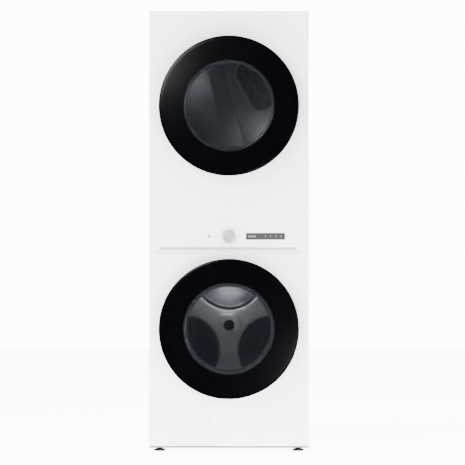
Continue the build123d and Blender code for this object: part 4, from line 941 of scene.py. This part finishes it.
# Screws: hexagonal washer-head screws hold the rear panel along its four edges. Each is a
# rolled hexagon on a round flange.
rear_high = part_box("rear_panel")[1]
back_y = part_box("middle_frame")[1].y
rear_face = max(back_y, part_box("left_side_panel")[1].y)
screw_inset = 0.010
screws_per_side = 10
lowest_screw = 0.05
highest_screw_gap = 0.04
flange_radius = 0.0055
flange_thickness = 0.0010
head_radius = 0.0040
head_height = 0.0030
flange_draft = 0.0005
head_draft = 0.0003
head_lift = 0.0020
flange_lift = 0.0016
top_row_drop = 0.014
bottom_row = 0.034
bm = bmesh.new()
screw_places = []
for side in (-1, 1):
    for step in range(screws_per_side):
        rise = rear_high.z - lowest_screw - highest_screw_gap
        height = lowest_screw + step * rise / (screws_per_side - 1)
        screw_places.append((side * (rear_high.x - screw_inset), height))
for step in range(1, 6):
    across = (step / 3 - 1) * (rear_high.x - screw_inset)
    screw_places += [(across, rear_high.z - top_row_drop), (across, bottom_row)]
for across, height in screw_places:
    flange = bmesh.ops.create_cone(
        bm, cap_ends=True, segments=20, radius1=flange_radius,
        radius2=flange_radius - flange_draft, depth=flange_thickness,
    )["verts"]
    head = bmesh.ops.create_cone(
        bm, cap_ends=True, segments=6, radius1=head_radius,
        radius2=head_radius - head_draft, depth=head_height,
    )["verts"]
    bmesh.ops.translate(bm, verts=head, vec=(0, 0, head_lift))
    both = flange + head
    bmesh.ops.rotate(bm, verts=both, matrix=Matrix.Rotation(math.radians(-90), 3, "X"))
    place = (across, rear_face + flange_lift, height)
    bmesh.ops.translate(bm, verts=both, vec=place)
bmesh.ops.recalc_face_normals(bm, faces=bm.faces[:])
screws = finished("rear_screws", bm, 30)
dress(machined_steel, screws.name)
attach(screws, "cabinet")

# Louvres: rows of short hoods pressed in the rear panel, behind the dryer. Two long beads
# stiffen the washer's panel below.
louvre_rows = 9
louvre_pitch = 0.026
lowest_louvre = 1.20
louvre_columns = (-0.19, -0.11)
louvre_size = (0.062, 0.009, 0.010)
bead_size = (0.030, 0.008, 0.52)
bead_middle = 0.46
stands_proud = 0.0005
bm = bmesh.new()
for row_number in range(louvre_rows):
    for column_x in louvre_columns:
        louvre = bmesh.ops.create_uvsphere(
            bm, u_segments=24, v_segments=12, radius=0.5
        )["verts"]
        bmesh.ops.scale(bm, verts=louvre, vec=louvre_size)
        louvre_z = lowest_louvre + row_number * louvre_pitch
        place = (column_x, rear_face + stands_proud, louvre_z)
        bmesh.ops.translate(bm, verts=louvre, vec=place)
for bead_x in (-0.10, 0.10):
    bead = bmesh.ops.create_uvsphere(bm, u_segments=32, v_segments=16, radius=0.5)["verts"]
    bmesh.ops.scale(bm, verts=bead, vec=bead_size)
    place = (bead_x, rear_face + stands_proud, bead_middle)
    bmesh.ops.translate(bm, verts=bead, vec=place)
behind = [vert for vert in bm.verts if vert.co.y < rear_face - 0.0003]
bmesh.ops.delete(bm, geom=behind, context="VERTS")
louvres = finished("rear_louvres", bm, 60)
dress(galvanised, louvres.name)
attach(louvres, "cabinet")

# Door seals: a soft rubber bead bonded behind each door closes it against the panel. It
# runs just outside the panel's hole and inside the catches.
for machine, axis_z in door_axes.items():
    frame_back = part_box(f"{machine}_door_frame")[1].y
    seal_radius = 0.2125
    seal = turned_piece(f"{machine}_door_seal", [
        (frame_back - 0.0030 + 0.0030 * math.sin(angle), seal_radius + 0.0035 * math.cos(angle))
        for angle in [math.tau * step / 12 for step in range(12)]
    ], axis_z)
    dress(gasket_rubber, seal.name)
    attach(seal, f"{machine}_door")
